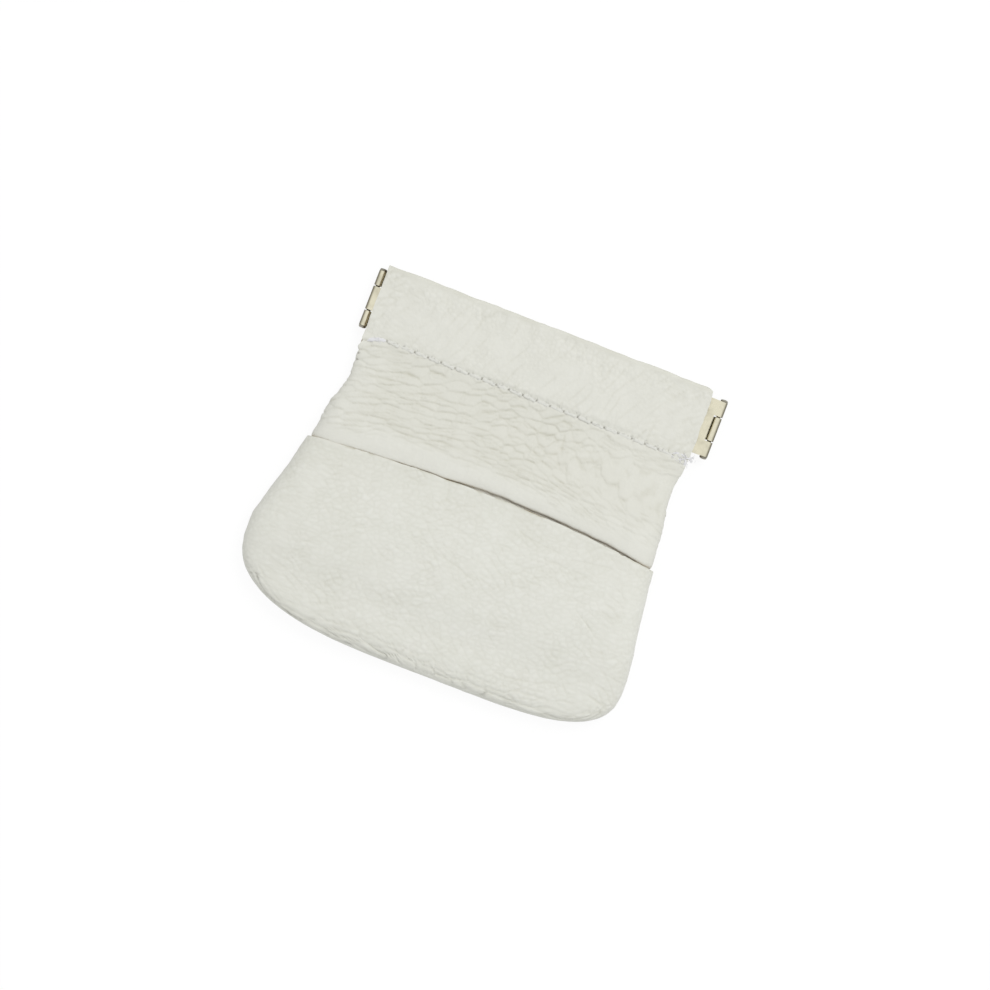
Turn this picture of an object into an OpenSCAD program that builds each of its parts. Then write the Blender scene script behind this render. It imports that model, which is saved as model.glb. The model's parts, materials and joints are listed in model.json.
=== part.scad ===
// Squeeze coin purse, lying on its back with its mouth towards +Y.
// Two leather panels with a casing each, a slip pocket on the front, and a sprung frame of two
// steel strips that are hinged at both ends. Millimetres.
// The origin is at the middle of the outline, on the surface that the purse lies on.

/* [Spring frame] */
// Length of the frame over its knuckles
frame_length = 90; // [80:1:110]
// Height of a strip, along its hinge pins
strip_height = 14; // [12:0.5:18]
// Thickness of the spring steel
strip_thickness = 0.4; // [0.3:0.05:0.6]
// How far each strip bows outwards at its middle when shut
strip_bow = 0.4; // [0.1:0.1:1.2]
// Length of the single knuckle at the centre of a hinge
centre_knuckle = 5.9; // [4:0.1:7]
// Gap between neighbouring knuckles
knuckle_gap = 0.3; // [0.15:0.05:0.6]
// Width of the slot between a knuckle and the edge of the strip that it turns against
knuckle_slot = 0.25; // [0.15:0.05:0.6]
// Opening left where a knuckle's roll comes back to its strip
roll_seam = 0.12; // [0.05:0.01:0.25]

/* [Hinge pins] */
// Diameter of a hinge pin
pin_diameter = 1.05; // [0.9:0.05:1.5]
// Radial play of a pin in its knuckles
pin_play = 0.05; // [0.02:0.01:0.08]
// How far the peened head stands out past the pin, all round
head_rim = 0.4; // [0.2:0.05:0.6]
// Height of a peened head
head_height = 0.55; // [0.3:0.05:1]
// Play between a head and the end of the knuckles
head_play = 0.05; // [0.02:0.01:0.1]

/* [Leather] */
// Thickness of the leather
leather = 1; // [0.8:0.05:1.4]
// Play between a strip and the leather on each side of it
casing_play = 0.085; // [0.05:0.005:0.15]
// Gap between the two hems that meet in the mouth
mouth_gap = 0.08; // [0.04:0.01:0.2]
// Gap where two panels meet at the seam
seam_gap = 0.06; // [0.02:0.01:0.15]
// Gap between the pocket and the front panel behind it
pocket_gap = 0.15; // [0.1:0.05:0.5]

/* [Body] */
// Depth of the purse from its top fold to its bottom seam
purse_depth = 89.6; // [80:0.5:110]
// Height of the pocket's crown above the surface that the purse lies on
belly_height = 8.4; // [8:0.1:14]
// How far the frame shows past the casing on the left
left_reveal = 2; // [2:0.1:5]
// How far the frame shows past the casing on the right
right_reveal = 4.05; // [2:0.05:6]
// How far the pocket swells past the casing on the left
left_bulge = 9.7; // [4:0.1:14]
// How far the pocket swells past the casing on the right
right_bulge = 5.3; // [3:0.1:14]
// How much narrower the neck is than the casing on the left
left_neck = 0.3; // [0:0.1:2]
// How much narrower the neck is than the casing on the right
right_neck = 1; // [0:0.1:2]
// Height of the widest point on the left above the bottom seam
left_widest = 20; // [14:0.5:26]
// Height of the widest point on the right above the bottom seam
right_widest = 15.5; // [12:0.5:26]
// Fullness of the lower left corner, where 2 is an ellipse
left_corner = 2.75; // [2:0.05:4]
// Fullness of the lower right corner
right_corner = 3.2; // [2:0.05:4]
// Width of the straight run in the middle of the bottom seam
bottom_run = 15; // [8:1:30]
// Width over which the front rolls down to the side seams
front_roll = 10; // [6:0.5:14]
// Width over which the back rolls up to the side seams
back_roll = 6; // [4:0.5:10]

/* [Casing] */
// Distance from the top fold down to the strip
fold_room = 1.95; // [1.6:0.05:3]
// Distance from the strip down to the casing's stitch line
stitch_drop = 1.75; // [1.3:0.05:3]
// Distance from the stitch line down to the raw end of the hem
hem_tail = 2.5; // [1.5:0.1:5]
// Depth of the neck from the end of the hem to where the sides start to swell
neck_depth = 7; // [5:0.5:12]

/* [Pocket] */
// Distance from the top fold down to the middle of the pocket's edge
pocket_drop = 43.2; // [38:0.1:50]
// How far the pocket's edge sinks towards its left end
pocket_dip_left = 2.1; // [0:0.1:5]
// How far the pocket's edge sinks towards its right end
pocket_dip_right = 2.9; // [0:0.1:5]

/* [Stitching] */
// Pitch of the casing's stitches
stitch_pitch = 3.5; // [2.5:0.1:5]
// Gap between two stitches, at a needle hole
needle_gap = 0.3; // [0.2:0.05:0.8]
// Width of a stitch of the casing
thread_width = 0.85; // [0.5:0.05:1.2]
// Height of a stitch of the casing
thread_height = 0.45; // [0.3:0.05:0.5]
// Height of a stitch on the hem, inside the mouth
hem_thread_height = 0.3; // [0.2:0.05:0.4]
// Thickness of the thread in the turned seam
seam_thread = 0.5; // [0.3:0.05:0.7]
// Play between the turned seam's thread and the leather round it
seam_thread_play = 0.3; // [0.2:0.05:0.6]
// Distance from the casing's side to the first stitch
stitch_inset = 1.2; // [0.8:0.1:4]

/* [Hidden] */
$fn = 48;
leather_colour = "#dcddd2";
pocket_colour = "#dedcd2";
steel_colour = "#dcd7bc";
pin_colour = "#c8c4b4";
thread_colour = "#f2f1ea";
// Hair of air that keeps two faces in one assembly apart
hair = 0.03;

// Frame: a knuckle is rolled round its pin, so the strip lies one bore radius off the mid plane
bore_radius = pin_diameter / 2 + pin_play;
knuckle_radius = bore_radius + strip_thickness;
half_span = frame_length / 2 - knuckle_radius;
bow_angle = atan(strip_bow / half_span);
flex_offset = bore_radius / cos(bow_angle) + strip_bow;
half_length = half_span * cos(bow_angle) + flex_offset * sin(bow_angle);
outer_knuckle = (strip_height - centre_knuckle) / 2 - knuckle_gap;
notch = knuckle_radius + knuckle_slot;

// Casing: the hem is skived to fill the room that the knuckles leave inside the strips
hem = bore_radius - casing_play - mouth_gap / 2;
casing_face = bore_radius + strip_thickness + casing_play + leather;
mid_height = casing_face + strip_bow;
pinched_hem = hem_thread_height + 2 * hair;
pinched_face = pinched_hem + hem + hair + leather;
fold_middle = (mouth_gap / 2 + casing_face) / 2;
fold_radius = (casing_face - mouth_gap / 2) / 2;
fold_inner_middle = (mouth_gap / 2 + hem + casing_face - leather) / 2;
fold_inner_radius = (casing_face - leather - mouth_gap / 2 - hem) / 2;

// Heights in the outline, from the top fold downwards
top = purse_depth / 2;
bottom = -purse_depth / 2;
fold_line = top - fold_radius;
strip_top = top - fold_room;
strip_bottom = strip_top - strip_height;
stitch_line = strip_bottom - stitch_drop;
hem_end = stitch_line - hem_tail;
neck_end = hem_end - neck_depth;
pocket_top = top - pocket_drop;
left_widest_line = bottom + left_widest;
right_widest_line = bottom + right_widest;

// Sides, from the middle of the frame outwards
step = leather + pocket_gap;
casing_left = frame_length / 2 - left_reveal;
casing_right = frame_length / 2 - right_reveal;
widest_left = casing_left + left_bulge;
widest_right = casing_right + right_bulge;
frame_middle = (max(widest_left, frame_length / 2) - max(widest_right, frame_length / 2)) / 2;
// Share of the swell that the side has reached, in even steps from the neck to the widest point
swell = [0, 0.16, 0.32, 0.52, 0.8, 1];

// Crown of the front above the mid plane, in even steps down the neck and down the pocket
belly = belly_height - mid_height;
pocket_crown = [0.86 * belly, 0.96 * belly, belly, 0.93 * belly, 0.76 * belly];
slit_face = pocket_crown[0] - step;
neck_crown = [pinched_face, mix(pinched_face, slit_face, 0.45), mix(pinched_face, slit_face, 0.85),
    1.08 * slit_face, slit_face];
back_crown = [pinched_face, mid_height];

// Rows and columns of the leather sheets
roll_steps = 6;
flat_steps = 12;
row_pitch = 3.2;

function mix(a, b, t) = a + (b - a) * t;
function share(y, from, to) = max(0, min(1, (y - from) / (to - from)));
function ease(t) = t * t * (3 - 2 * t);

// A smooth curve through evenly spaced values, level at both ends
function along(list, t) =
    let (n = len(list) - 1)
    let (k = min(floor(t * n), n - 1))
    let (f = t * n - k)
    let (a = list[k])
    let (b = list[k + 1])
    let (slope_a = k == 0 ? 0 : (b - list[k - 1]) / 2)
    let (slope_b = k == n - 1 ? 0 : (list[k + 2] - a) / 2)
    a * (1 + 2 * f) * (1 - f) * (1 - f) + slope_a * f * (1 - f) * (1 - f)
    + b * f * f * (3 - 2 * f) + slope_b * f * f * (f - 1);

// Distance from the middle of the frame to one side, less an inset that nests the layers
function side_at(y, inset, casing, neck, widest, widest_line, corner) =
    y >= widest_line
        ? casing + step - inset - neck * ease(share(y, stitch_line, neck_end))
            + (widest - casing - step + neck) * along(swell, share(y, neck_end, widest_line))
        : bottom_run / 2 + (widest - inset - bottom_run / 2)
            * pow(max(0, 1 - pow((widest_line - y) / (widest_line - bottom - inset), corner)), 1 / corner);
function left_at(y, inset) = frame_middle
    - side_at(y, inset, casing_left, left_neck, widest_left, left_widest_line, left_corner);
function right_at(y, inset) = frame_middle
    + side_at(y, inset, casing_right, right_neck, widest_right, right_widest_line, right_corner);

// Outward bow of the casing at one place along the frame
function bow_at(x) = strip_bow * max(0, 1 - abs(x - frame_middle) / half_span);

// Columns across a row, as [place, angle]. A place from 0 to 1 is a share of the way from one side's
// roll to the other's, and -1 and -2 are in the left and the right roll, turned by the angle.
columns = concat(
    [for (k = [0:roll_steps - 1]) [-1, 90 * k / roll_steps]],
    [for (k = [0:flat_steps]) [k / flat_steps, 90]],
    [for (k = [roll_steps - 1:-1:0]) [-2, 90 * k / roll_steps]]);

// A row is [y, crown height, how far its sides drop to the seam, share of the bow, inset, roll width,
// share of the dip that the pocket's edge has towards its ends]
function row_points(row) =
    let (inset = row[4])
    let (dips = [row[6] * pocket_dip_left, row[6] * pocket_dip_right])
    let (left = left_at(row[0] - dips[0], inset))
    let (right = right_at(row[0] - dips[1], inset))
    let (roll = min(row[5], 0.4 * (right - left)))
    [for (c = columns)
        let (x = c[0] == -1 ? left + roll * (1 - cos(c[1]))
            : c[0] == -2 ? right - roll * (1 - cos(c[1]))
            : mix(left + roll, right - roll, c[0]))
        let (dip = x < frame_middle ? dips[0] * pow((x - frame_middle) / (left - frame_middle), 2)
            : dips[1] * pow((x - frame_middle) / (right - frame_middle), 2))
        let (crown = row[1] + pocket_crown_at(row[0] - dip) - pocket_crown_at(row[0]))
        let (rise = 1 - row[2] * (1 - sin(c[1])))
        [x, row[0] - dip, seam_gap / 2 + (crown - seam_gap / 2) * rise + row[3] * bow_at(x)]];
function pocket_crown_at(y) = along(pocket_crown, share(y, pocket_top, bottom + front_roll));

// A closed sheet of leather from the rows of its outside and the rows of its inside
module sheet(outside, inside) {
    rows = len(outside);
    cols = len(columns);
    points = concat([for (r = outside) each row_points(r)], [for (r = inside) each row_points(r)]);
    function at(skin, r, c) = (skin * rows + r) * cols + c;
    faces = concat(
        [for (r = [0:rows - 2]) for (c = [0:cols - 2]) each [
            [at(0, r, c), at(0, r, c + 1), at(0, r + 1, c + 1)],
            [at(0, r, c), at(0, r + 1, c + 1), at(0, r + 1, c)],
            [at(1, r, c), at(1, r + 1, c + 1), at(1, r, c + 1)],
            [at(1, r, c), at(1, r + 1, c), at(1, r + 1, c + 1)]]],
        [for (c = [0:cols - 2]) each [
            [at(0, 0, c), at(1, 0, c + 1), at(0, 0, c + 1)],
            [at(0, 0, c), at(1, 0, c), at(1, 0, c + 1)],
            [at(0, rows - 1, c), at(0, rows - 1, c + 1), at(1, rows - 1, c + 1)],
            [at(0, rows - 1, c), at(1, rows - 1, c + 1), at(1, rows - 1, c)]]],
        [for (r = [0:rows - 2]) each [
            [at(0, r, 0), at(0, r + 1, 0), at(1, r + 1, 0)],
            [at(0, r, 0), at(1, r + 1, 0), at(1, r, 0)],
            [at(0, r, cols - 1), at(1, r + 1, cols - 1), at(0, r + 1, cols - 1)],
            [at(0, r, cols - 1), at(1, r, cols - 1), at(1, r + 1, cols - 1)]]]);
    polyhedron(points, faces);
}

// Rows of a hemmed panel's casing: up the hem, over the fold and down to the stitch line.
// skin is 0 for the outside of the leather and 1 for its inside.
function casing_rows(skin) =
    let (h = skin * hem)
    let (d = skin * leather)
    let (middle = skin == 0 ? fold_middle : fold_inner_middle)
    let (radius = skin == 0 ? fold_radius : fold_inner_radius)
    concat(
        [[hem_end, pinched_hem + h, 0, 0, step, front_roll, 0],
            [stitch_line - thread_width / 2, pinched_hem + h, 0, 0, step, front_roll, 0],
            [stitch_line + thread_width / 2, pinched_hem + h, 0, 0, step, front_roll, 0],
            [strip_bottom - 0.3, mouth_gap / 2 + h, 0, 1, step, front_roll, 0],
            [strip_top, mouth_gap / 2 + h, 0, 1, step, front_roll, 0]],
        [for (a = [-90:30:90])
            [fold_line + radius * cos(a), middle + radius * sin(a), 0, 1, step, front_roll, 0]],
        [[strip_top, casing_face - d, 0, 1, step, front_roll, 0],
            [strip_bottom - 0.3, casing_face - d, 0, 1, step, front_roll, 0],
            [stitch_line + thread_width / 2 + 0.1, pinched_face - d, 0, 0, step, front_roll, 0],
            [stitch_line - thread_width / 2 - 0.1, pinched_face - d, 0, 0, step, front_roll, 0],
            [hem_end, pinched_face - d, 0, 0, step, front_roll, 0]]);

// Rows of a panel between two heights, down a list of crown heights
function crown_rows(from, to, crown, skin, inset, roll) =
    let (n = max(2, ceil((from - to) / row_pitch)))
    [for (k = [1:n])
        let (y = mix(from, to, k / n))
        let (drop = ease(share(y, hem_end, hem_end - 4)))
        [y, along(crown, k / n) - skin * leather, drop, 0, inset + skin * leather * drop,
            roll - skin * leather, 0]];

// Rows that roll a panel's end in to the bottom seam
function end_rows(crown, skin, inset, roll) =
    let (d = inset + skin * leather)
    [for (k = [roll_steps - 1:-1:0])
        let (a = 90 * k / roll_steps)
        [bottom + d + (roll - d) * (1 - cos(a)), (crown - skin * leather) * sin(a), 1, 0, d,
            roll - skin * leather, 0]];

function last(list) = list[len(list) - 1];

// The front panel's rows: casing, neck, behind the pocket, and the end
function front_rows(skin) = concat(
    casing_rows(skin),
    crown_rows(hem_end, pocket_top, neck_crown, skin, step, front_roll - step),
    crown_rows(pocket_top, bottom + front_roll, [for (h = pocket_crown) h - step], skin, step,
        front_roll - step),
    end_rows(last(pocket_crown) - step, skin, step, front_roll));

// The back panel's edge lies under both layers of the front
back_inset = step / 2;
function back_rows(skin) = concat(
    casing_rows(skin),
    crown_rows(hem_end, pocket_top, back_crown, skin, step, back_roll),
    [for (r = crown_rows(pocket_top, bottom + back_roll, [mid_height, mid_height], skin, step, back_roll))
        let (inset = mix(step, back_inset, ease(share(r[0], pocket_top, pocket_top - 12))))
        [r[0], r[1], r[2], r[3], inset + skin * leather, r[5], 0]],
    end_rows(mid_height, skin, back_inset, back_roll));

// The pocket's rows: the cut edge sinks towards its ends, and the rows under it straighten out
function pocket_rows(skin) =
    let (d = skin * leather)
    concat([[pocket_top, pocket_crown[0] - d, 1, 0, d, front_roll - d, 1]],
        [for (r = crown_rows(pocket_top, bottom + front_roll, pocket_crown, skin, 0, front_roll))
            let (dip = ease(share(r[0], bottom + front_roll, pocket_top)))
            [r[0], r[1], r[2], r[3], r[4], r[5], dip]],
        end_rows(last(pocket_crown), skin, 0, front_roll));

module front_panel() {
    color(leather_colour)
        translate([0, 0, mid_height])
            sheet(front_rows(0), front_rows(1));
}

module back_panel() {
    color(leather_colour)
        translate([0, 0, mid_height])
            mirror([0, 0, 1])
                sheet(back_rows(0), back_rows(1));
}

module pocket_panel() {
    color(pocket_colour)
        translate([0, 0, mid_height])
            sheet(pocket_rows(0), pocket_rows(1));
}

// A knuckle rolled from the strip round the hinge axis, which lies along Y here
module knuckle(from, length) {
    roll_end = asin((bore_radius - roll_seam) / knuckle_radius);
    translate([0, from + length, 0])
        rotate([90, 0, 0])
            rotate(90)
                rotate_extrude(angle = 270 + roll_end)
                    translate([bore_radius, 0])
                        square([strip_thickness, length]);
}

// The flat of a half strip, with its end stepped back where the other strip's knuckles turn
module strip_flat(tabs) {
    translate([0, 0, bore_radius])
        linear_extrude(strip_thickness)
            union() {
                translate([notch, 0])
                    square([half_length - notch, strip_height]);
                for (tab = tabs)
                    translate([0, tab[0]])
                        square([notch + hair, tab[1]]);
            }
}

outer_tabs = [[0, outer_knuckle], [strip_height - outer_knuckle, outer_knuckle]];
centre_tabs = [[(strip_height - centre_knuckle) / 2, centre_knuckle]];

// Half a strip, from its hinge axis at the origin to the middle of its bow
module half_strip(tabs) {
    rotate([0, -bow_angle, 0])
        union() {
            strip_flat(tabs);
            for (tab = tabs)
                knuckle(tab[0], tab[1]);
        }
}

// Puts a half strip on the left or right hinge axis, in the front or the back casing
module on_hinge(side, face) {
    translate([frame_middle + side * half_span, strip_bottom, mid_height])
        mirror([side > 0 ? 1 : 0, 0, 0])
            mirror([0, 0, face < 0 ? 1 : 0])
                children();
}

module front_strip_left() {
    color(steel_colour)
        on_hinge(-1, 1)
            half_strip(centre_tabs);
}

module front_strip_right() {
    color(steel_colour)
        on_hinge(1, 1)
            half_strip(outer_tabs);
}

module back_strip_left() {
    color(steel_colour)
        on_hinge(-1, -1)
            half_strip(outer_tabs);
}

module back_strip_right() {
    color(steel_colour)
        on_hinge(1, -1)
            half_strip(centre_tabs);
}

// A pin with a domed, peened head at each end, along Y from the bottom of the knuckles
module hinge_pin() {
    length = strip_height + 2 * head_play;
    head_radius = pin_diameter / 2 + head_rim;
    rotate([-90, 0, 0])
        translate([0, 0, -head_play]) {
            cylinder(r = pin_diameter / 2, h = length);
            for (end = [0, 1])
                translate([0, 0, end * length])
                    mirror([0, 0, 1 - end])
                        rotate_extrude()
                            polygon(concat([[0, 0], [head_radius, 0]],
                                [for (a = [15:15:75]) [head_radius * cos(a), head_height * sin(a)]],
                                [[0, head_height]]));
        }
}

module left_hinge_pin() {
    color(pin_colour)
        on_hinge(-1, 1)
            hinge_pin();
}

module right_hinge_pin() {
    color(pin_colour)
        on_hinge(1, 1)
            hinge_pin();
}

// One stitch: a flattened run of thread with round ends, lying along X
module stitch(length, width, height) {
    linear_extrude(height)
        union() {
            square([length - width, width], center = true);
            for (end = [-1, 1])
                translate([end * (length - width) / 2, 0])
                    circle(d = width);
        }
}

// The lockstitch that closes a casing: a row of stitches on the outside and one on the hem
module casing_stitches() {
    from = left_at(stitch_line, step) + stitch_inset;
    run = right_at(stitch_line, step) - stitch_inset - from;
    count = floor(run / stitch_pitch);
    for (k = [0:count - 1])
        translate([from + (k + 0.5) * run / count, stitch_line, 0]) {
            translate([0, 0, pinched_face + hair])
                stitch(run / count - needle_gap, thread_width, thread_height);
            translate([0, 0, hair])
                stitch(run / count - needle_gap, thread_width, hem_thread_height);
        }
}

module front_casing_stitching() {
    color(thread_colour)
        translate([0, 0, mid_height])
            casing_stitches();
}

module back_casing_stitching() {
    color(thread_colour)
        translate([0, 0, mid_height])
            mirror([0, 0, 1])
                casing_stitches();
}

// The turned seam's thread lies inside, along the foot of the front panel's wall
seam_inset = step + leather + seam_thread / 2 + seam_thread_play;
seam_start = hem_end - 4;
corner_lines = [for (k = [1:14]) 6 * k];
function corner_line(widest_line, a) = mix(widest_line, bottom + seam_inset, sin(a));
seam_route = concat(
    [for (y = side_lines(left_widest_line)) [left_at(y, seam_inset), y]],
    [for (a = corner_lines)
        let (y = corner_line(left_widest_line, a))
        [left_at(y, seam_inset), y]],
    [for (side = [-1, 1]) [frame_middle + side * bottom_run / 2, bottom + seam_inset]],
    [for (k = [len(corner_lines) - 1:-1:0])
        let (y = corner_line(right_widest_line, corner_lines[k]))
        [right_at(y, seam_inset), y]],
    [for (y = reversed(side_lines(right_widest_line))) [right_at(y, seam_inset), y]]);
function side_lines(widest_line) = [for (k = [0:12]) mix(seam_start, widest_line, k / 12)];
function reversed(list) = [for (k = [len(list) - 1:-1:0]) list[k]];

module seam_stitching() {
    color(thread_colour)
        translate([0, 0, mid_height - seam_thread / 2])
            for (k = [0:len(seam_route) - 2]) {
                a = seam_route[k];
                b = seam_route[k + 1];
                run = b - a;
                translate([(a[0] + b[0]) / 2, (a[1] + b[1]) / 2, 0])
                    rotate(atan2(run[1], run[0]))
                        stitch(norm(run) - needle_gap, seam_thread, seam_thread);
            }
}

back_panel();
front_panel();
pocket_panel();
back_strip_left();
back_strip_right();
front_strip_left();
front_strip_right();
left_hinge_pin();
right_hinge_pin();
front_casing_stitching();
back_casing_stitching();
seam_stitching();
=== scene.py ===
import json
import math

import bmesh
import bpy
import numpy as np
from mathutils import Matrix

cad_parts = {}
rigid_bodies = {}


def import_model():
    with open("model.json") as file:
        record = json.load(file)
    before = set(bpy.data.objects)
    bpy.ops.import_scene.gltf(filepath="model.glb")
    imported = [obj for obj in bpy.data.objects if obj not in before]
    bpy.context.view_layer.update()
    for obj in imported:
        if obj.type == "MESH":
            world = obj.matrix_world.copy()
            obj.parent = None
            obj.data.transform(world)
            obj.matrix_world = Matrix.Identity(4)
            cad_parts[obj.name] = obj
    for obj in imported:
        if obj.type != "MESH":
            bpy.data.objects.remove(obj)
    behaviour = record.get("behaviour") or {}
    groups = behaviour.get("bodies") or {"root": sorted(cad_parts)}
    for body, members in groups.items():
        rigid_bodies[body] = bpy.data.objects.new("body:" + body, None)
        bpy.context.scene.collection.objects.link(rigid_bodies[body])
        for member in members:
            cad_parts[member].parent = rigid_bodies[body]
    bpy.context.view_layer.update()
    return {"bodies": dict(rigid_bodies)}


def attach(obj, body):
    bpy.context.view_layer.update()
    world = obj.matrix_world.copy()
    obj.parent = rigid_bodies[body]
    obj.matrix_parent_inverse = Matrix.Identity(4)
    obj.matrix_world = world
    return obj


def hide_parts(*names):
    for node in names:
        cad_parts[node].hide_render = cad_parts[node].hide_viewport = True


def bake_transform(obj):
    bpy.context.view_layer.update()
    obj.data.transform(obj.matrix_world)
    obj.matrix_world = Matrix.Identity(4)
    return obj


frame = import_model()


# Front panel: one piece of off-white pebbled cowhide, skived thin at its top end, which is folded
# inwards over the spring strip and stitched down as a casing. Years of squeezing have gathered it into
# fine overlapping creases below the stitches, and it dives behind the pocket's cut edge.

# Sizes are in millimetres, and a mesh is brought to metres when it is made
metre = 0.001
leather = 1.0
pocket_gap = 0.15
step = leather + pocket_gap
seam_gap = 0.06
frame_length = 90.0
knuckle_radius = 0.975
half_span = frame_length / 2 - knuckle_radius
strip_bow = 0.4
strip_height = 14.0
left_reveal, right_reveal = 2.0, 4.05
left_bulge, right_bulge = 9.7, 5.3
purse_depth = 89.6
top, bottom = purse_depth / 2, -purse_depth / 2
fold_room = 1.95
strip_top = top - fold_room
strip_bottom = strip_top - strip_height
stitch_drop = 1.75
stitch_line = strip_bottom - stitch_drop
hem_tail = 2.5
neck_depth = 7.0
hem_end = stitch_line - hem_tail
neck_end = hem_end - neck_depth
pocket_drop = 43.2
pocket_top = top - pocket_drop
pocket_dip_left, pocket_dip_right = 2.1, 2.9
front_roll = 10.0
casing_face = 2.06
mid_height = casing_face + strip_bow
belly_height = 8.4
belly = belly_height - mid_height
bottom_run = 15.0
fullness = 2 / 3
swell = [0, 0.16, 0.32, 0.52, 0.8, 1]
pocket_crown = [part * belly for part in (0.86, 0.96, 1, 0.93, 0.76)]

# A side: half width at the casing, narrowing of the neck, half width at the belly, height of that, and
# fullness of the corner
casing_left = frame_length / 2 - left_reveal
casing_right = frame_length / 2 - right_reveal
left_side = (casing_left, 0.3, casing_left + left_bulge, bottom + 20, 2.75)
right_side = (casing_right, 1.0, casing_right + right_bulge, bottom + 15.5, 3.2)
frame_middle = (left_side[2] - right_side[2]) / 2


def share(value, start, end):
    return np.clip((value - start) / (end - start), 0, 1)


def ease(part):
    return part * part * (3 - 2 * part)


def fade(value, start, end):
    """Rises smoothly from 0 at the start to 1 at the end, which may be the lower of the two"""
    return ease(share(value, start, end))


def hump(off, half_width):
    return np.exp(-(off / half_width) ** 2)


def curve(here, there, leaving, arriving, f):
    """The smooth curve from one value to the next, with its slope at each"""
    return (here * (1 + 2 * f) * (1 - f) ** 2 + leaving * f * (1 - f) ** 2
            + there * f * f * (3 - 2 * f) + arriving * f * f * (f - 1))


def along(heights, part):
    """A smooth curve through evenly spaced heights, level at both ends"""
    heights = np.asarray(heights, float)
    last = len(heights) - 1
    k = np.minimum((part * last).astype(int), last - 1)
    f = part * last - k
    slope = np.gradient(heights)
    slope[[0, -1]] = 0
    return curve(heights[k], heights[k + 1], slope[k], slope[k + 1], f)


def side_at(y, inset, side):
    """Distance from the middle of the frame to one side of the outline"""
    casing, neck, widest, widest_line, corner = side
    upper = (casing + step - inset - neck * fade(y, stitch_line, neck_end)
             + (widest - casing - step + neck) * along(swell, share(y, neck_end, widest_line)))
    drop = share(y, widest_line, bottom + inset)
    flat_run = bottom_run / 2
    lower = flat_run + (widest - inset - flat_run) * (1 - drop ** corner) ** (1 / corner)
    return np.where(y >= widest_line, upper, lower)


def smooth_rows(skin_keys, blur=0.15, every=6, grain=0.02):
    """Close rows for a sheet's two skins between key rows of [y, crown, drop, bow, inset, roll, dip,
    spacing]. The flesh side gets one row for each few of the grain side's."""
    keys = np.hstack([np.array(part, float) for part in skin_keys])
    fields = keys.shape[1] // 2
    reach = np.r_[0, np.cumsum(np.hypot(np.diff(keys[:, 0]), np.diff(keys[:, 1])) + 1e-6)]
    steps = np.arange(0, reach[-1], grain)
    gap = np.diff(reach)[:, None]
    rate = np.diff(keys, axis=0) / gap
    slope = np.zeros_like(keys)
    before, after = rate[:-1], rate[1:]
    level = before * after <= 0
    weights = 2 * gap[1:] + gap[:-1], gap[1:] + 2 * gap[:-1]
    with np.errstate(divide="ignore", invalid="ignore"):
        mean = (weights[0] + weights[1]) / (weights[0] / before + weights[1] / after)
    slope[1:-1] = np.where(level, 0, mean)
    slope[0], slope[-1] = rate[0], rate[-1]
    k = np.clip(np.searchsorted(reach, steps, side="right") - 1, 0, len(gap) - 1)
    f = ((steps - reach[k]) / gap[k, 0])[:, None]
    rows = curve(keys[k], keys[k + 1], slope[k] * gap[k], slope[k + 1] * gap[k], f)
    width = int(3 * blur / grain)
    kernel = np.exp(-0.5 * (np.arange(-width, width + 1) * grain / blur) ** 2)
    kernel /= kernel.sum()
    ends = 2 * rows[0] - rows[width:0:-1], 2 * rows[-1] - rows[-2:-width - 2:-1]
    padded = np.vstack([ends[0], rows, ends[1]])
    rows = np.stack([np.convolve(column, kernel, "valid") for column in padded.T], 1)
    count = np.r_[0, np.cumsum(grain / rows[:-1, fields - 1])]
    even = np.linspace(0, count[-1], int(count[-1]) + 1)
    rows = np.stack([np.interp(even, count, column) for column in rows.T], 1)
    return rows[:, :fields], rows[np.unique(np.r_[0:len(rows):every, len(rows) - 1]), fields:]


def columns_of(roll_steps, flat_steps):
    """Columns across a row, as [side, angle or share]: left roll, flat and right roll"""
    turn = np.linspace(0, math.pi / 2, roll_steps, endpoint=False)
    return np.vstack([
        np.stack([np.full(roll_steps, -1.0), turn], 1),
        np.stack([np.zeros(flat_steps + 1), np.linspace(0, 1, flat_steps + 1)], 1),
        np.stack([np.full(roll_steps, 1.0), turn[::-1]], 1)])


def crown_at(y):
    return along(pocket_crown, share(y, pocket_top, bottom + front_roll))


def place_rows(rows, columns):
    """Places of a sheet's points above the middle plane, by row and column"""
    y, crown, drop, bow, inset, roll, dip = (rows[:, k:k + 1] for k in range(7))
    dips = dip * pocket_dip_left, dip * pocket_dip_right
    left = frame_middle - side_at(y - dips[0], inset, left_side)
    right = frame_middle + side_at(y - dips[1], inset, right_side)
    roll = np.minimum(roll, 0.4 * (right - left))
    side, value = columns[None, :, 0], columns[None, :, 1]
    turn = np.where(side == 0, math.pi / 2, value)
    in_from_side = roll * (1 - np.maximum(np.cos(turn), 0) ** fullness)
    x = np.where(side < 0, left + in_from_side, right - in_from_side)
    x = np.where(side == 0, left + roll + (right - left - 2 * roll) * value, x)
    on_left = x < frame_middle
    reach = np.where(on_left, left, right) - frame_middle
    sink = np.where(on_left, dips[0], dips[1]) * ((x - frame_middle) / reach) ** 2
    lift = crown_at(y - sink) - crown_at(y)
    rise = 1 - drop * (1 - np.maximum(np.sin(turn), 0) ** fullness)
    bowed = bow * strip_bow * np.maximum(0, 1 - np.abs(x - frame_middle) / half_span)
    z = seam_gap / 2 + (crown + lift - seam_gap / 2) * rise + bowed
    return np.stack([x, y - sink, z], -1)


def normals_of(places):
    """Outward normals of a grid of places, rows running down the sheet and columns across it"""
    normal = np.cross(np.gradient(places, axis=0), np.gradient(places, axis=1))
    return normal / np.maximum(np.linalg.norm(normal, axis=-1, keepdims=True), 1e-9)


# Cells after which a random pattern repeats
repeat = 64


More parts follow.
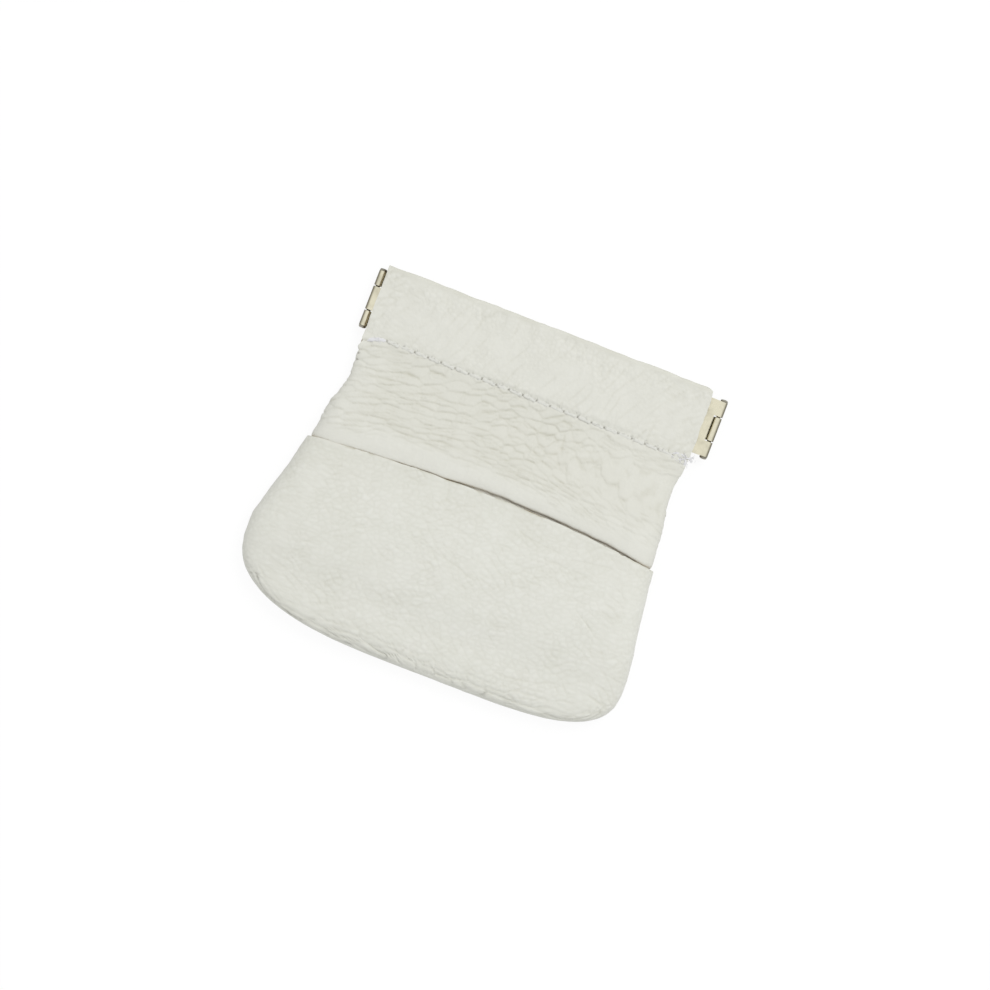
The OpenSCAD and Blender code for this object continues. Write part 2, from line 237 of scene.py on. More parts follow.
def noise(u, v, seed):
    """Smooth value noise from -1 to 1, one cell to each unit"""
    table = np.random.default_rng(seed).uniform(-1, 1, (repeat, repeat))
    i, j = np.floor(u).astype(int), np.floor(v).astype(int)
    f, g = ease(u - i), ease(v - j)
    here, there = i % repeat, (i + 1) % repeat
    low = table[here, j % repeat] * (1 - f) + table[there, j % repeat] * f
    high = table[here, (j + 1) % repeat] * (1 - f) + table[there, (j + 1) % repeat] * f
    return low * (1 - g) + high * g


def ripple(way, seed):
    """Noise along a line"""
    return noise(way, way * 0, seed)


def cells(u, v, seed, wide, high, spread):
    """Grain cells like flattened hexagons, one unit of u wide and one of v high, which are worth a
    width and a height in mm. Gives the distance in mm to the nearest border, how level that border is,
    the height in the cell, and the cell's own draw."""
    draws = np.random.default_rng(seed).uniform(-1, 1, (repeat, repeat, 3))
    i, j = np.floor(u).astype(int), np.floor(v).astype(int)
    nearest = np.full(u.shape, np.inf)
    best = [np.zeros(u.shape) for _ in range(3)]
    seeds = []
    for a in range(-2, 3):
        for b in range(-2, 3):
            draw = draws[(i + a) % repeat, (j + b) % repeat]
            du = i + a + spread * draw[..., 0] - u
            dv = j + b + 0.5 * ((i + a) % 2) + spread * draw[..., 1] - v
            seeds.append((du, dv))
            gap = du * du + dv * dv
            closer = gap < nearest
            nearest = np.where(closer, gap, nearest)
            for k, value in enumerate((du, dv, draw[..., 2])):
                best[k] = np.where(closer, value, best[k])
    border, level = np.full(u.shape, np.inf), np.zeros(u.shape)
    for du, dv in seeds:
        across, up = du - best[0], dv - best[1]
        size = np.maximum(np.hypot(across, up), 1e-9)
        middle = ((du + best[0]) * across + (dv + best[1]) * up) / 2 / size
        middle /= np.maximum(np.hypot(across / wide, up / high), 1e-9) / size
        closer = (size > 1e-6) & (middle < border)
        border = np.where(closer, middle, border)
        level = np.where(closer, np.abs(up) / size, level)
    return border, level, -best[1], best[2]


def scaled(value, size, low=-70.0, high=70.0):
    """Counts cells whose size changes along the way"""
    grid = np.linspace(low, high, 2000)
    count = np.r_[0, np.cumsum((grid[1] - grid[0]) / size(grid))[:-1]]
    return np.interp(value, grid, count)


def folds(x, y, lines):
    """Depth and darkness of single creases, each (x, y, x, y, sag, half width, depth). The darkness is
    painted shade along each crease
    """
    depth, dark = np.zeros(x.shape), np.zeros(x.shape)
    for x0, y0, x1, y1, sag, half, deep in lines:
        run = math.hypot(x1 - x0, y1 - y0)
        cos, sin = (x1 - x0) / run, (y1 - y0) / run
        part = ((x - x0) * cos + (y - y0) * sin) / run
        wander = 0.25 * noise(part * run / 2.5, x * 0 + y0, 91)
        off = (y - y0) * cos - (x - x0) * sin - 4 * sag * part * (1 - part) - wander
        ends = fade(part, -0.02, 0.25) * fade(part, 1.02, 0.75)
        cut = ends * hump(off, half)
        depth += deep * cut
        dark += min(1, deep / 0.12) * ends * hump(off, 0.6 * half)
    return depth, dark


def pebble(x, y, size, seed):
    """The printed grain: low cells with soft valleys between them, and how deep in a valley a place is"""
    squat = 1.2
    u = x / size + 0.3 * noise(x / 3, y / 3, seed)
    v = y / size * squat + 0.3 * noise(x / 3 + 9, y / 3, seed)
    gap, _, _, own = cells(u, v, seed, size, size / squat, 0.44)
    valley = hump(gap, 0.19 * size)
    return 0.4 * own - valley, valley - 0.5 * own


def casing_relief(x, y):
    """Faint near-upright veins that lean to the right, over a small soft grain, with slanting wrinkles at
    the casing's ends. Its darkness is painted shade in the veins, the wrinkles and the grain's valleys"""
    vein_wide, vein_high, lean = 2.9, 5.5, 0.5
    u = (x - lean * y) / vein_wide + 0.35 * noise(x / 5, y / 5, 5)
    v = y / vein_high + 0.3 * noise(x / 4, y / 6, 6)
    gap, level, _, own = cells(u, v, 7, vein_wide, vein_high, 0.4)
    part = (0.3 + 0.7 * fade(noise(x / 3.2, y / 3.2, 8), -0.5, 0.5)) * (1 - 0.8 * fade(level, 0.5, 0.9))
    vein = part * hump(gap, 0.3)
    wrinkle_long, wrinkle_wide, cos, sin = 4, 1.6, 0.8, 0.6
    u, v = (x * cos + y * sin) / wrinkle_long, (y * cos - x * sin) / wrinkle_wide
    gap, _, _, _ = cells(u, v, 17, wrinkle_long, wrinkle_wide, 0.35)
    ends = fade(x, -24, -38) + fade(x, 24, 40)
    wrinkle = ends * (0.3 + 0.7 * fade(noise(x / 3, y / 3, 18), -0.3, 0.5)) * hump(gap, 0.3)
    grain, valley = pebble(x, y, 1.3, 9)
    patch = 0.4 + 0.6 * fade(noise(x / 6, y / 4, 10), -0.4, 0.5) + 0.4 * fade(y, 37, 41)
    height = 0.04 * part * own - 0.06 * vein - 0.09 * wrinkle + 0.085 * patch * grain
    height += 0.13 * noise(x / 3.2, y / 4.5, 19) + 0.06 * noise(x / 1.4, y / 1.8, 20)
    return height, 0.42 * vein + 0.5 * wrinkle + 0.22 * patch * valley


def neck_relief(x, y):
    """Scale-like creases that arch over the belly: broad scales above, long fine ones below. Its darkness
    is painted shade: in the grooves, in one upright fold, and as a band over the neck that fades towards
    both sides
    """

    def scale_wide(x):
        return 3.6 + 1.5 * fade(x, 4, -22) + 0.4 * fade(x, 12, 30)

    def scale_high(flow):
        return 1.3 + 1.05 * fade(flow, 9, 17)

    near_stitches = fade(y, 10, 22)
    slope = 0.03 + 0.17 * near_stitches
    bend = 0.0039 - 0.0019 * near_stitches
    flow = y - (slope * x - bend * x * x) + 0.7 * noise(x / 9, y / 6, 11)
    wide, high = scale_wide(x), scale_high(flow)
    run, rows_up = scaled(x, scale_wide), scaled(flow, scale_high)
    u = run + 0.3 * noise(x / 6, flow / 3, 12)
    v = rows_up + 0.22 * noise(x / 3.5, flow / 2.5, 13) + 0.05 * noise(x / 1.2, flow / 1.1, 18)
    gap, level, tile, own = cells(u, v, 14, wide, high, 0.3)
    strong = 0.3 + 0.6 * fade(level, 0.4, 0.9)
    part = 0.35 + 0.65 * fade(noise(x / 4, y / 2.2, 15), -0.6, 0.2)
    lower = y + 2.8 * fade(x, -25, -34) + 2.4 * fade(x, 11, 19)
    bottom_part = fade(lower, 5.0, 8.5)
    part = part * strong * (1 - 0.55 * fade(x, 10, 30)) * (0.05 + 0.95 * bottom_part)
    finer, lower_by = 1.9, 2
    u = run * finer + 0.3 * noise(x / 3, y / 2, 22)
    v = rows_up * lower_by + 0.2 * noise(x / 2, flow, 23)
    fine_gap, fine_level, _, _ = cells(u, v, 24, wide / finer, high / lower_by, 0.36)
    fine = fade(noise(x / 3, y / 2, 25), -0.2, 0.6) * (0.1 + 0.9 * bottom_part)
    fine = fine * (0.2 + 0.8 * fade(fine_level, 0.4, 0.9))
    grain, valley = pebble(x, y, 1.2, 16)
    drape = 0.045 * noise(x / 0.7, y / 5, 26) * fade(lower, 8, 5.5) * fade(y, 2.6, 4)
    groove = part * hump(gap, 0.23)
    cushion = 0.82 * part * (1 - np.exp(-gap / 0.55))
    fine_groove = fine * hump(fine_gap, 0.2)
    height = 0.25 * cushion - 0.09 * groove - 0.06 * tile * high * bottom_part + 0.04 * own * bottom_part
    height += -0.085 * fine_groove + 0.02 * grain + 0.04 * noise(x / 2, y / 1.5, 30) + drape
    fold_x, fold_y, fold_lean = 14.6, 19, 0.15
    upright = hump(x - fold_x + fold_lean * (y - fold_y), 0.3) * fade(y, 16.5, 18) * fade(y, 22.6, 21)
    # Painted shade over the neck, lighter towards the right and at the far left
    neck_band_shade = 0.4 * fade(y, 5, 10) * (1 - 0.3 * fade(x, 8, 30)) * (1 - 0.7 * fade(x, -29, -37))
    dark = neck_band_shade + 0.9 * groove + 0.52 * fine_groove + 0.08 * valley + 0.5 * upright
    return height - 0.09 * upright, dark


# The photograph's needle holes: 22 in a line that falls a little to the right
hole_count = 22
hole_pitch = 3.514
hole_stray = 0.16
first_hole, first_hole_y = -33.8, 27.3
row_fall = 0.0107
strays = np.random.default_rng(3).uniform(-hole_stray, hole_stray, hole_count)
hole_x = first_hole + hole_pitch * np.arange(hole_count) + strays


def sewing_line(x):
    return first_hole_y - row_fall * (x - first_hole)


def below_stitches(x, y):
    return fade(y, sewing_line(x) + 0.3, sewing_line(x) - 1.2)


def sewing_relief(x, y):
    """The valley that the thread pulls, its needle holes, and puckers beside them, with painted shade in
    the holes
    """
    hole_long, hole_wide, hole_depth, cos, sin = 0.32, 0.19, 0.22, 0.86, 0.5
    off = y - sewing_line(x)
    valley = 0.04 * hump(off, 1.1)
    pucker = 0.04 * hump(off, 1.6) * np.cos((x - first_hole) * 2 * math.pi / hole_pitch)
    holes = np.zeros(x.shape)
    for centre in hole_x:
        near = np.abs(x - centre) < 1
        across = (x[near] - centre) * cos + off[near] * sin
        up = off[near] * cos - (x[near] - centre) * sin
        hole = np.exp(-(across / hole_long) ** 2 - (up / hole_wide) ** 2)
        holes[near] = np.maximum(holes[near], hole)
    return -valley - pucker - hole_depth * holes, 0.75 * holes


def spots(x, y, places):
    """Small dark marks, each (x, y, slant, half length, half width)"""
    dark = np.zeros(x.shape)
    for x0, y0, slant, half_length, half_width in places:
        along_it = (x - x0) * math.cos(slant) + (y - y0) * math.sin(slant)
        across_it = (y - y0) * math.cos(slant) - (x - x0) * math.sin(slant)
        dark = np.maximum(dark, np.exp(-(along_it / half_length) ** 2 - (across_it / half_width) ** 2))
    return dark


def worn(places):
    """The unevenness of handwork: a fold that waves, and sides that wander and are dented"""
    edge_starts = 40
    x, y = places[..., 0], places[..., 1]
    side = np.clip((x - frame_middle) / edge_starts, -1, 1)
    line = np.sign(side) * 3.5
    wander = 0.16 * noise(y / 3.2, line, 71) + 0.1 * noise(y / 1.3, line, 72)
    dent = 0.35 * hump(y - 25.4, 0.5) - 0.3 * hump(y - 23.8, 0.6)
    places[..., 0] += np.abs(side) ** 9 * (wander + np.where(side < 0, dent, 0))
    end = np.where(side < 0, casing_left, casing_right) + step - np.abs(x - frame_middle)
    wave = 0.13 * ripple(x / 6, 73) + 0.06 * ripple(x / 1.7, 74) - 0.4 * hump(end, 0.6)
    wave -= np.where(side > 0, 0.9, 0) * hump(end, 1.5)
    places[..., 1] += wave * fade(y, 36, 43.5)
    places[..., 0] -= 0.35 * np.maximum(side, 0) ** 9 * fade(y, 41.5, 44)
    return places


def placed(name, data):
    """Puts an object in the scene, at the origin"""
    made = bpy.data.objects.new(name, data)
    bpy.context.scene.collection.objects.link(made)
    return made


def piece_of(name, shape):
    """Makes a finished shape into a piece"""
    mesh = bpy.data.meshes.new(name)
    shape.to_mesh(mesh)
    shape.free()
    return placed(name, mesh)


def points_of(mesh):
    flat = np.empty(len(mesh.vertices) * 3, np.float32)
    mesh.vertices.foreach_get("co", flat)
    return flat.reshape(-1, 3)


def sheet(name, outside, inside, marks, raw_above):
    """A closed sheet of leather from the places of its grain side and of its flesh side, in mm. Its
    first row and its sides above a line are cut edges, and the rest is turned in."""
    grain_face, flesh_face, cut_face = 0, 1, 2
    rows, columns = outside.shape[:2]
    shape = bmesh.new()
    for height, count in ((1, rows), (-1, len(inside))):
        grid = bmesh.ops.create_grid(shape, x_segments=count - 1, y_segments=columns - 1, size=1)["verts"]
        bmesh.ops.translate(shape, verts=grid, vec=(0, 0, height))
        shape.faces.ensure_lookup_table()
    for face in shape.faces:
        face.smooth = True
        face.material_index = grain_face if face.verts[0].co.z > 0 else flesh_face
    for axis in (0, 1):
        for end in (-1, 1):
            rim = [edge for edge in shape.edges
                   if all(abs(vert.co[axis] - end) < 1e-4 for vert in edge.verts)
                   and abs(edge.verts[0].co.z - edge.verts[1].co.z) < 1]
            for face in bmesh.ops.bridge_loops(shape, edges=rim)["faces"]:
                face.material_index = grain_face if (axis, end) == (0, 1) else cut_face
            for edge in rim:
                edge.smooth = False
    bmesh.ops.recalc_face_normals(shape, faces=shape.faces[:])
    piece = piece_of(name, shape)
    mesh = piece.data
    flat = points_of(mesh)
    upper = flat[:, 2] > 0
    column = np.rint((flat[:, 1] + 1) / 2 * (columns - 1)).astype(int)
    row = np.rint((flat[:, 0] + 1) / 2 * (np.where(upper, rows, len(inside)) - 1)).astype(int)
    places = np.empty(flat.shape)
    places[upper] = outside[row[upper], column[upper]]
    places[~upper] = inside[row[~upper], column[~upper]]
    mesh.vertices.foreach_set("co", (places * metre).astype(np.float32).ravel())
    for label, values in marks.items():
        field = np.zeros(len(flat), np.float32)
        field[upper] = values[row[upper], column[upper]]
        mesh.attributes.new(label, "FLOAT", "POINT").data.foreach_set("value", field)
    for cell in mesh.polygons:
        if cell.material_index == cut_face and cell.center.y < raw_above * metre:
            cell.material_index = grain_face
    mesh.update()
    return piece


# Rows of the casing, which both panels share, on the grain side (skin 0) and the flesh side (skin 1)
hem = 0.45
mouth_gap = 0.08
casing_room = 0.06
pinched_face, pinched_hem = 1.84, 0.36
fold_line = top - (casing_face - mouth_gap / 2) / 2
hem_spacing = 1.2


def casing_rows(skin, spacing):
    lift, sunk, room = skin * hem, skin * leather, skin * casing_room
    middle = (mouth_gap / 2 + skin * hem + casing_face - sunk) / 2
    radius = (casing_face - sunk - mouth_gap / 2 - skin * hem) / 2
    flat = [0, 0, step, front_roll, 0]
    bowed = [0, 1, step, front_roll, 0]
    return (
        [[hem_end, pinched_hem + lift, *flat, hem_spacing],
         [stitch_line - 0.5, pinched_hem + lift, *flat, hem_spacing],
         [stitch_line + 0.5, pinched_hem + lift, *flat, hem_spacing],
         [strip_bottom - 0.3, mouth_gap / 2 + lift, *bowed, hem_spacing],
         [strip_top, mouth_gap / 2 + lift, *bowed, 0.6]]
        + [[fold_line + radius * math.cos(turn), middle + radius * math.sin(turn), *bowed, spacing]
           for turn in np.linspace(-math.pi / 2, math.pi / 2, 13)]
        + [[strip_top, casing_face - sunk + room, *bowed, 1.35 * spacing],
           [32, casing_face - 0.02 - sunk + room, *bowed, 1.35 * spacing],
           [strip_bottom - 0.4, casing_face - 0.06 - sunk + room, *bowed, 1.2 * spacing],
           [stitch_line, casing_face - 0.12 - sunk, *flat, spacing],
           [hem_end, casing_face - 0.12 - sunk, *flat, spacing]])


# The neck's crown above the middle plane: it rises to a soft roll over the pocket's edge, then dives
neck_crown = [(22.5, 2.1), (20, 2.45), (17.5, 2.98), (15, 3.55), (12.5, 4.13), (10, 4.66), (7.6, 5.05),
              (5.6, 5.24), (4.2, 5.26), (3.2, 5.18), (2.65, 5.0), (2.35, 4.72), (2.15, 4.3), (2.02, 3.97),
              (1.5, 3.95)]


def bottom_rows(count, inset, crown, roll, side_roll, spacing):
    """Rows that roll a sheet down to the bottom seam"""
    return [[bottom + inset + roll * (1 - max(math.cos(turn), 0) ** fullness),
             crown * max(math.sin(turn), 0) ** fullness, 1, 0, inset, side_roll, 0, spacing]
            for turn in np.linspace(math.pi / 2, 0, count)[1:]]


def front_keys(skin, spacing):
    sunk = skin * leather
    keys = casing_rows(skin, spacing)
    for y, crown in neck_crown:
        drop = fade(y, hem_end, hem_end - 4)
        narrowed = front_roll - (step + sunk) * fade(y, hem_end, hem_end - 2)
        inset = step - 0.6 * fade(y, 18, 8) * fade(y, 2.1, 2.9) + sunk * drop
        close = spacing if y > 3.4 else 0.55 * spacing
        keys.append([y, crown - sunk, drop, 0, inset, narrowed, fade(y, 17, 2), close])
    for y in np.linspace(0, bottom + front_roll, 12):
        dip = fade(y, bottom + front_roll, pocket_top)
        keys.append([y, crown_at(y) - step - sunk, 1, 0, step + sunk, front_roll - step - sunk, dip, 3])
    inset, crown = step + sunk, pocket_crown[-1] - step - sunk
    return keys + bottom_rows(8, inset, crown, front_roll - inset, front_roll - inset, 1.5)


def unrolled(places, crown):
    """Plan coordinates of a sheet with its rolled edges laid flat, so that a pattern follows the skin"""
    normal = normals_of(places)
    fall = np.maximum(crown - places[..., 2], 0)
    return places[..., 0] + normal[..., 0] * fall, places[..., 1] + normal[..., 1] * fall


def raised(places, height):
    return places + normals_of(places) * height[..., None]


def outer_rows(rows):
    """Marks the rows past the fold, which lie on the outside"""
    return (np.arange(len(rows)) > np.argmax(rows[:, 0]))[:, None]


# How far the neck's crest comes down towards the pocket's edge, and how strongly painted shade darkens the
# slit between them: each (x, value)
crest_drops = [(-43, 0.9), (-12, 0.62), (-4, 0.35), (3, 0.1), (36, 0.05), (43, 0.55)]
slit_shading = [(-41, 0), (-39, 0.25), (-35, 0.1), (-32, 0.7), (-16, 0.6), (-9, 0.3), (-3, 0.1), (1, 0.3),
              (8, 0.5), (34, 0.5), (39, 0.35), (43, 0.1)]

front_spacing = 0.248
front_columns = columns_of(30, 318)
front_rows, front_inner_rows = smooth_rows([front_keys(skin, front_spacing) for skin in (0, 1)], 0.12)
front_places = worn(place_rows(front_rows, front_columns))
row_y = front_rows[:, :1]
x = front_places[..., 0]
nearer = np.interp(x, *np.array(crest_drops).T)
wave = 0.1 * ripple(x / 3, 27) - nearer + 0.04 * ripple(x / 0.9, 28)
front_places[..., 1] += wave * hump(row_y - 2.3, 0.9)
y = front_places[..., 1]
outer = outer_rows(front_rows)
casing_height, casing_shade = casing_relief(x, y)
neck_height, neck_shade = neck_relief(x, y)
below = below_stitches(x, y)
seen = outer * fade(row_y, 1.7, 2.6) * fade(row_y, 44.2, 42.8)
sewn_height, hole_shade = sewing_relief(x, y)
height = seen * (casing_height * (1 - below) + neck_height * below) + outer * sewn_height
height -= outer * 0.16 * hump(x, 9) * hump(row_y - 2.7, 1.1)
# Painted shade in the slit under the neck's crest: dark brown, thin and uneven along its length
slit_shade = np.interp(x, *np.array(slit_shading).T) * (0.8 + 0.3 * ripple(x / 2.2, 29))
slit_shade = slit_shade * hump(row_y - 2.12, 0.17 + 0.12 * fade(x, -2, 4))
# Painted shade in two holes at the left side
side_holes = spots(x, y, [(-39.2, 22.3, 0.4, 0.32, 0.17), (-39.0, 20.7, 0.4, 0.28, 0.16)])
# Painted shade along the top fold, where the leather turns away from the light
top_fold_shade = fade(row_y, 42.9, 44.3) * (0.6 + 0.25 * noise(x / 2.4, x * 0 + 3, 79))
# Colour attributes of the front: painted shade in creases, over the neck, along the top fold, in needle
# holes and in the slit
front_shade_and_marks = {
    "crease_shade_and_tone": seen * (casing_shade * (1 - below) + neck_shade * below) + outer * top_fold_shade,
    "soil_and_shade": outer * np.clip(hole_shade + slit_shade + 0.7 * side_holes, 0, 1)}
front_outside = raised(front_places, height)
front_inside = worn(place_rows(front_inner_rows, front_columns))
front_outside[..., 2] += mid_height
front_inside[..., 2] += mid_height
front_panel = sheet("front_leather", front_outside, front_inside, front_shade_and_marks, 24.0)


# The frame's pull: where the strips bow, the casings go with them, and the leather below gives less
# and less down to the bottom seam. Each bone stands for one half strip.
bone_names = ["front_left", "front_right", "back_left", "back_right"]
bones = bpy.data.armatures.new("frame_pull")
rig = placed("frame_pull", bones)
bpy.context.view_layer.objects.active = rig
bpy.ops.object.mode_set(mode="EDIT")
for name in bone_names:
    bone = bones.edit_bones.new(name)
    bone.head, bone.tail, bone.roll = (0, 0, 0), (0, 0.01, 0), 0
bpy.ops.object.mode_set(mode="OBJECT")
for name in bone_names:
    pull = rig.pose.bones[name].constraints.new("COPY_TRANSFORMS")
    pull.target = frame["bodies"][name]
bones.display_type = "STICK"
rig.hide_render = True


def from_sides(x, y):
    """Distance in from the nearer side of the outline"""
    left = x - (frame_middle - side_at(y, 0, left_side))
    return np.minimum(left, frame_middle + side_at(y, 0, right_side) - x)


def follow_frame(piece, face):
    """Lets a soft piece follow the strip on its own face, and both strips alike at the side seams"""
    mesh = piece.data
    x, y, _ = points_of(mesh).T / metre
    turn = fade(x, frame_middle - half_span, frame_middle + half_span)
    joined = 0.5 * (1 - fade(from_sides(x, y), 1.5, 16)) * fade(y, 25.5, 19)
    own = 1 - joined
    shares = {
        "front_left": (own if face > 0 else joined) * (1 - turn),
        "front_right": (own if face > 0 else joined) * turn,
        "back_left": (own if face < 0 else joined) * (1 - turn),
        "back_right": (own if face < 0 else joined) * turn,
        "reach": fade(y, -42, 24)}
    shape = bmesh.new()
    shape.from_mesh(mesh)
    layer = shape.verts.layers.deform.verify()
    groups = [(piece.vertex_groups.new(name=name).index, values) for name, values in shares.items()]
    for k, vert in enumerate(shape.verts):
        weights = vert[layer]
        for index, values in groups:
            weights[index] = float(values[k])
    shape.to_mesh(mesh)
    shape.free()
    pull = piece.modifiers.new("frame_pull", "ARMATURE")
    pull.object = rig
    pull.use_deform_preserve_volume = True
    pull.vertex_group = "reach"


def srgb(code):
    """A colour written as it looks on a screen, made linear"""
    parts = [int(code[k:k + 2], 16) / 255 for k in (1, 3, 5)]
    return [part / 12.92 if part <= 0.04045 else ((part + 0.055) / 1.055) ** 2.4 for part in parts] + [1]


def node(tree, kind, inputs=None, **settings):
    """Adds a node with its settings, and with its sockets set or linked"""
    made = tree.nodes.new(kind)
    for name, value in settings.items():
        setattr(made, name, value)
    for socket, value in (inputs or {}).items():
        if isinstance(value, bpy.types.NodeSocket):
            tree.links.new(value, made.inputs[socket])
        else:
            made.inputs[socket].default_value = value
    return made


def material(name):
    """An empty material with its Principled shader"""
    made = bpy.data.materials.new(name)
    made.use_nodes = True
    tree = made.node_tree
    return made, tree, tree.nodes["Principled BSDF"]


def per_mm(size):
    """Texture scale at which one cell of a pattern is this many millimetres wide"""
    return 1000 / size


def grain_leather(name, pale, deep):
    """Corrected-grain cowhide, pigmented off-white and left matt: soft mottling; a grey tan mixed in as
    painted shade in creases, grain valleys, over the neck and along the top fold, and as the tone of the
    pocket's cut edge; a dark brown mixed in as painted shade in needle holes and the slit and for small
    real marks; and pores too fine for the mesh, drawn 0.55 mm apart so that they show"""
    made, tree, shader = material(name)
    place = node(tree, "ShaderNodeTexCoord").outputs["Object"]
    mottle = node(tree, "ShaderNodeTexNoise", {"Vector": place, "Scale": per_mm(7), "Detail": 4.0,
                                               "Roughness": 0.6}).outputs["Fac"]
    ground = node(tree, "ShaderNodeMix", {0: mottle, 6: srgb(pale), 7: srgb(deep)},
                  data_type="RGBA").outputs[2]
    # Painted shade: this attribute darkens creases, grain valleys, the neck and the top fold, and also
    # gives the pocket's cut edge its tan tone
    crease_shade_and_tone = node(tree, "ShaderNodeAttribute", attribute_name="crease_shade_and_tone").outputs["Fac"]
    crease_shade_and_tone = node(tree, "ShaderNodeMath", {0: crease_shade_and_tone, 1: 0.26}, operation="MULTIPLY").outputs[0]
    shaded_and_toned = node(tree, "ShaderNodeMix", {0: crease_shade_and_tone, 6: ground, 7: srgb("#a39f84")},
                   data_type="RGBA").outputs[2]
    # Painted shade in needle holes and in the slit, together with small real marks at the bottom seam
    soil_and_shade = node(tree, "ShaderNodeAttribute", attribute_name="soil_and_shade").outputs["Fac"]
    soiled_and_shaded = node(tree, "ShaderNodeMix", {0: soil_and_shade, 6: shaded_and_toned, 7: srgb("#453628")},
                  data_type="RGBA").outputs[2]
    tree.links.new(soiled_and_shaded, shader.inputs["Base Color"])
    pores = node(tree, "ShaderNodeTexVoronoi", {"Vector": place, "Scale": per_mm(0.55)}).outputs["Distance"]
    fine = node(tree, "ShaderNodeTexNoise", {"Vector": place, "Scale": per_mm(0.9),
                                             "Detail": 5.0}).outputs["Fac"]
    relief = node(tree, "ShaderNodeMath", {0: pores, 1: 0.35, 2: fine}, operation="MULTIPLY_ADD").outputs[0]
    bump = node(tree, "ShaderNodeBump", {"Height": relief, "Strength": 0.35, "Distance": 0.12 * metre})
    tree.links.new(bump.outputs[0], shader.inputs["Normal"])
    shader.inputs["Roughness"].default_value = 0.58
    shader.inputs["Specular IOR Level"].default_value = 0.35
    return made


def fibrous(name, pale, deep, fibre, detail, strength, depth, roughness):
    """A matt, fibrous finish: its fibres mix two colours and give a relief. They are drawn several
    times coarser than real ones so that they show. Fibre and depth are in mm."""
    made, tree, shader = material(name)
    place = node(tree, "ShaderNodeTexCoord").outputs["Object"]
    fibres = node(tree, "ShaderNodeTexNoise", {"Vector": place, "Scale": per_mm(fibre),
                                               "Detail": detail}).outputs["Fac"]
    colour = node(tree, "ShaderNodeMix", {0: fibres, 6: srgb(pale), 7: srgb(deep)}, data_type="RGBA")
    tree.links.new(colour.outputs[2], shader.inputs["Base Color"])
    bump = node(tree, "ShaderNodeBump", {"Height": fibres, "Strength": strength, "Distance": depth * metre})
    tree.links.new(bump.outputs[0], shader.inputs["Normal"])
    shader.inputs["Roughness"].default_value = roughness
    return made


panel_leather = grain_leather("pebbled_cowhide_panels", "#e3e3db", "#dcdcd3")

# The flesh side of the same hide: undyed warm grey, brushed fibres, no shine
flesh_side = fibrous("flesh_side", "#cfc7b6", "#b3a892", fibre=0.6, detail=6.0, strength=0.6, depth=0.2,
                     roughness=0.92)

# A raw knife-cut edge: tan core between the pigment and the flesh, fibrous, a little soiled
cut_edge = fibrous("raw_cut_edge", "#cdbb9b", "#8f7b60", fibre=0.8, detail=6.0, strength=0.7, depth=0.2,
                   roughness=0.9)

for finish in (panel_leather, flesh_side, cut_edge):
    front_panel.data.materials.append(finish)
follow_frame(front_panel, 1)
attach(front_panel, "pouch")
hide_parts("front_panel")


# Back panel: the same hide and the same casing, lying on the table. It is flat where it rests, and its
# edge rolls up to the turned seam.
back_roll = 6.0


def back_keys(skin, spacing):
    sunk = skin * leather
    keys = casing_rows(skin, spacing)
    for y in np.linspace(22.5, -1, 9):
        drop = fade(y, hem_end, hem_end - 4)
        crown = pinched_face + (mid_height - pinched_face) * fade(y, hem_end, pocket_top)
        keys.append([y, crown - sunk, drop, 0, step + sunk * drop, back_roll, 0, spacing])
    for y in np.linspace(-5, bottom + back_roll, 9):
        inset = step + (step / 2 - step) * fade(y, pocket_top, pocket_top - 12)
        keys.append([y, mid_height - sunk, 1, 0, inset + sunk, back_roll - sunk, 0, spacing])
    inset, crown = step / 2 + sunk, mid_height - sunk
    return keys + bottom_rows(8, inset, crown, back_roll - inset, back_roll - sunk, 0.7 * spacing)


def body_relief(x, y, seed):
    """Soft pebbled grain, with faint slanting creases in patches, as on the body of both faces. Its
    darkness is a slight even tone plus painted shade in the grain's valleys and the creases
    """
    cos, sin = 0.933, 0.359
    grain, valley = pebble(0.8 * (cos * x + sin * y), cos * y - sin * x, 1.5, seed)
    patch = 0.7 + 0.3 * fade(noise(x / 5, y / 5, seed + 2), -0.6, 0.5)
    height = 0.07 * patch * grain + 0.05 * noise(x / 4, y / 4, seed + 3)
    dark = 0.1 + 0.28 * patch * valley
    crease_long, crease_apart = 4.2, 1.9
    for slant, first in ((0.4, seed + 4), (-0.45, seed + 9)):
        cos, sin = math.cos(slant), math.sin(slant)
        u = (x * cos + y * sin) / crease_long + 0.3 * noise(x / 6, y / 6, first)
        v = (y * cos - x * sin) / crease_apart + 0.25 * noise(x / 4 + 7, y / 4, first)
        gap, level, _, _ = cells(u, v, first + 1, crease_long, crease_apart, 0.36)
        part = fade(level, 0.2, 0.8) * fade(noise(x / 5, y / 5, first + 2), -0.2, 0.7)
        groove = part * hump(gap, 0.26)
        height -= 0.045 * groove
        dark += 0.3 * groove
    return height, dark


def from_seam(x, y):
    """Distance in from the outline's sides and bottom, and the way along them"""
    centre, radius = -8.0, 42
    way = np.arctan2(y - centre, x - frame_middle) * radius
    return np.minimum(from_sides(x, y), y - bottom), way


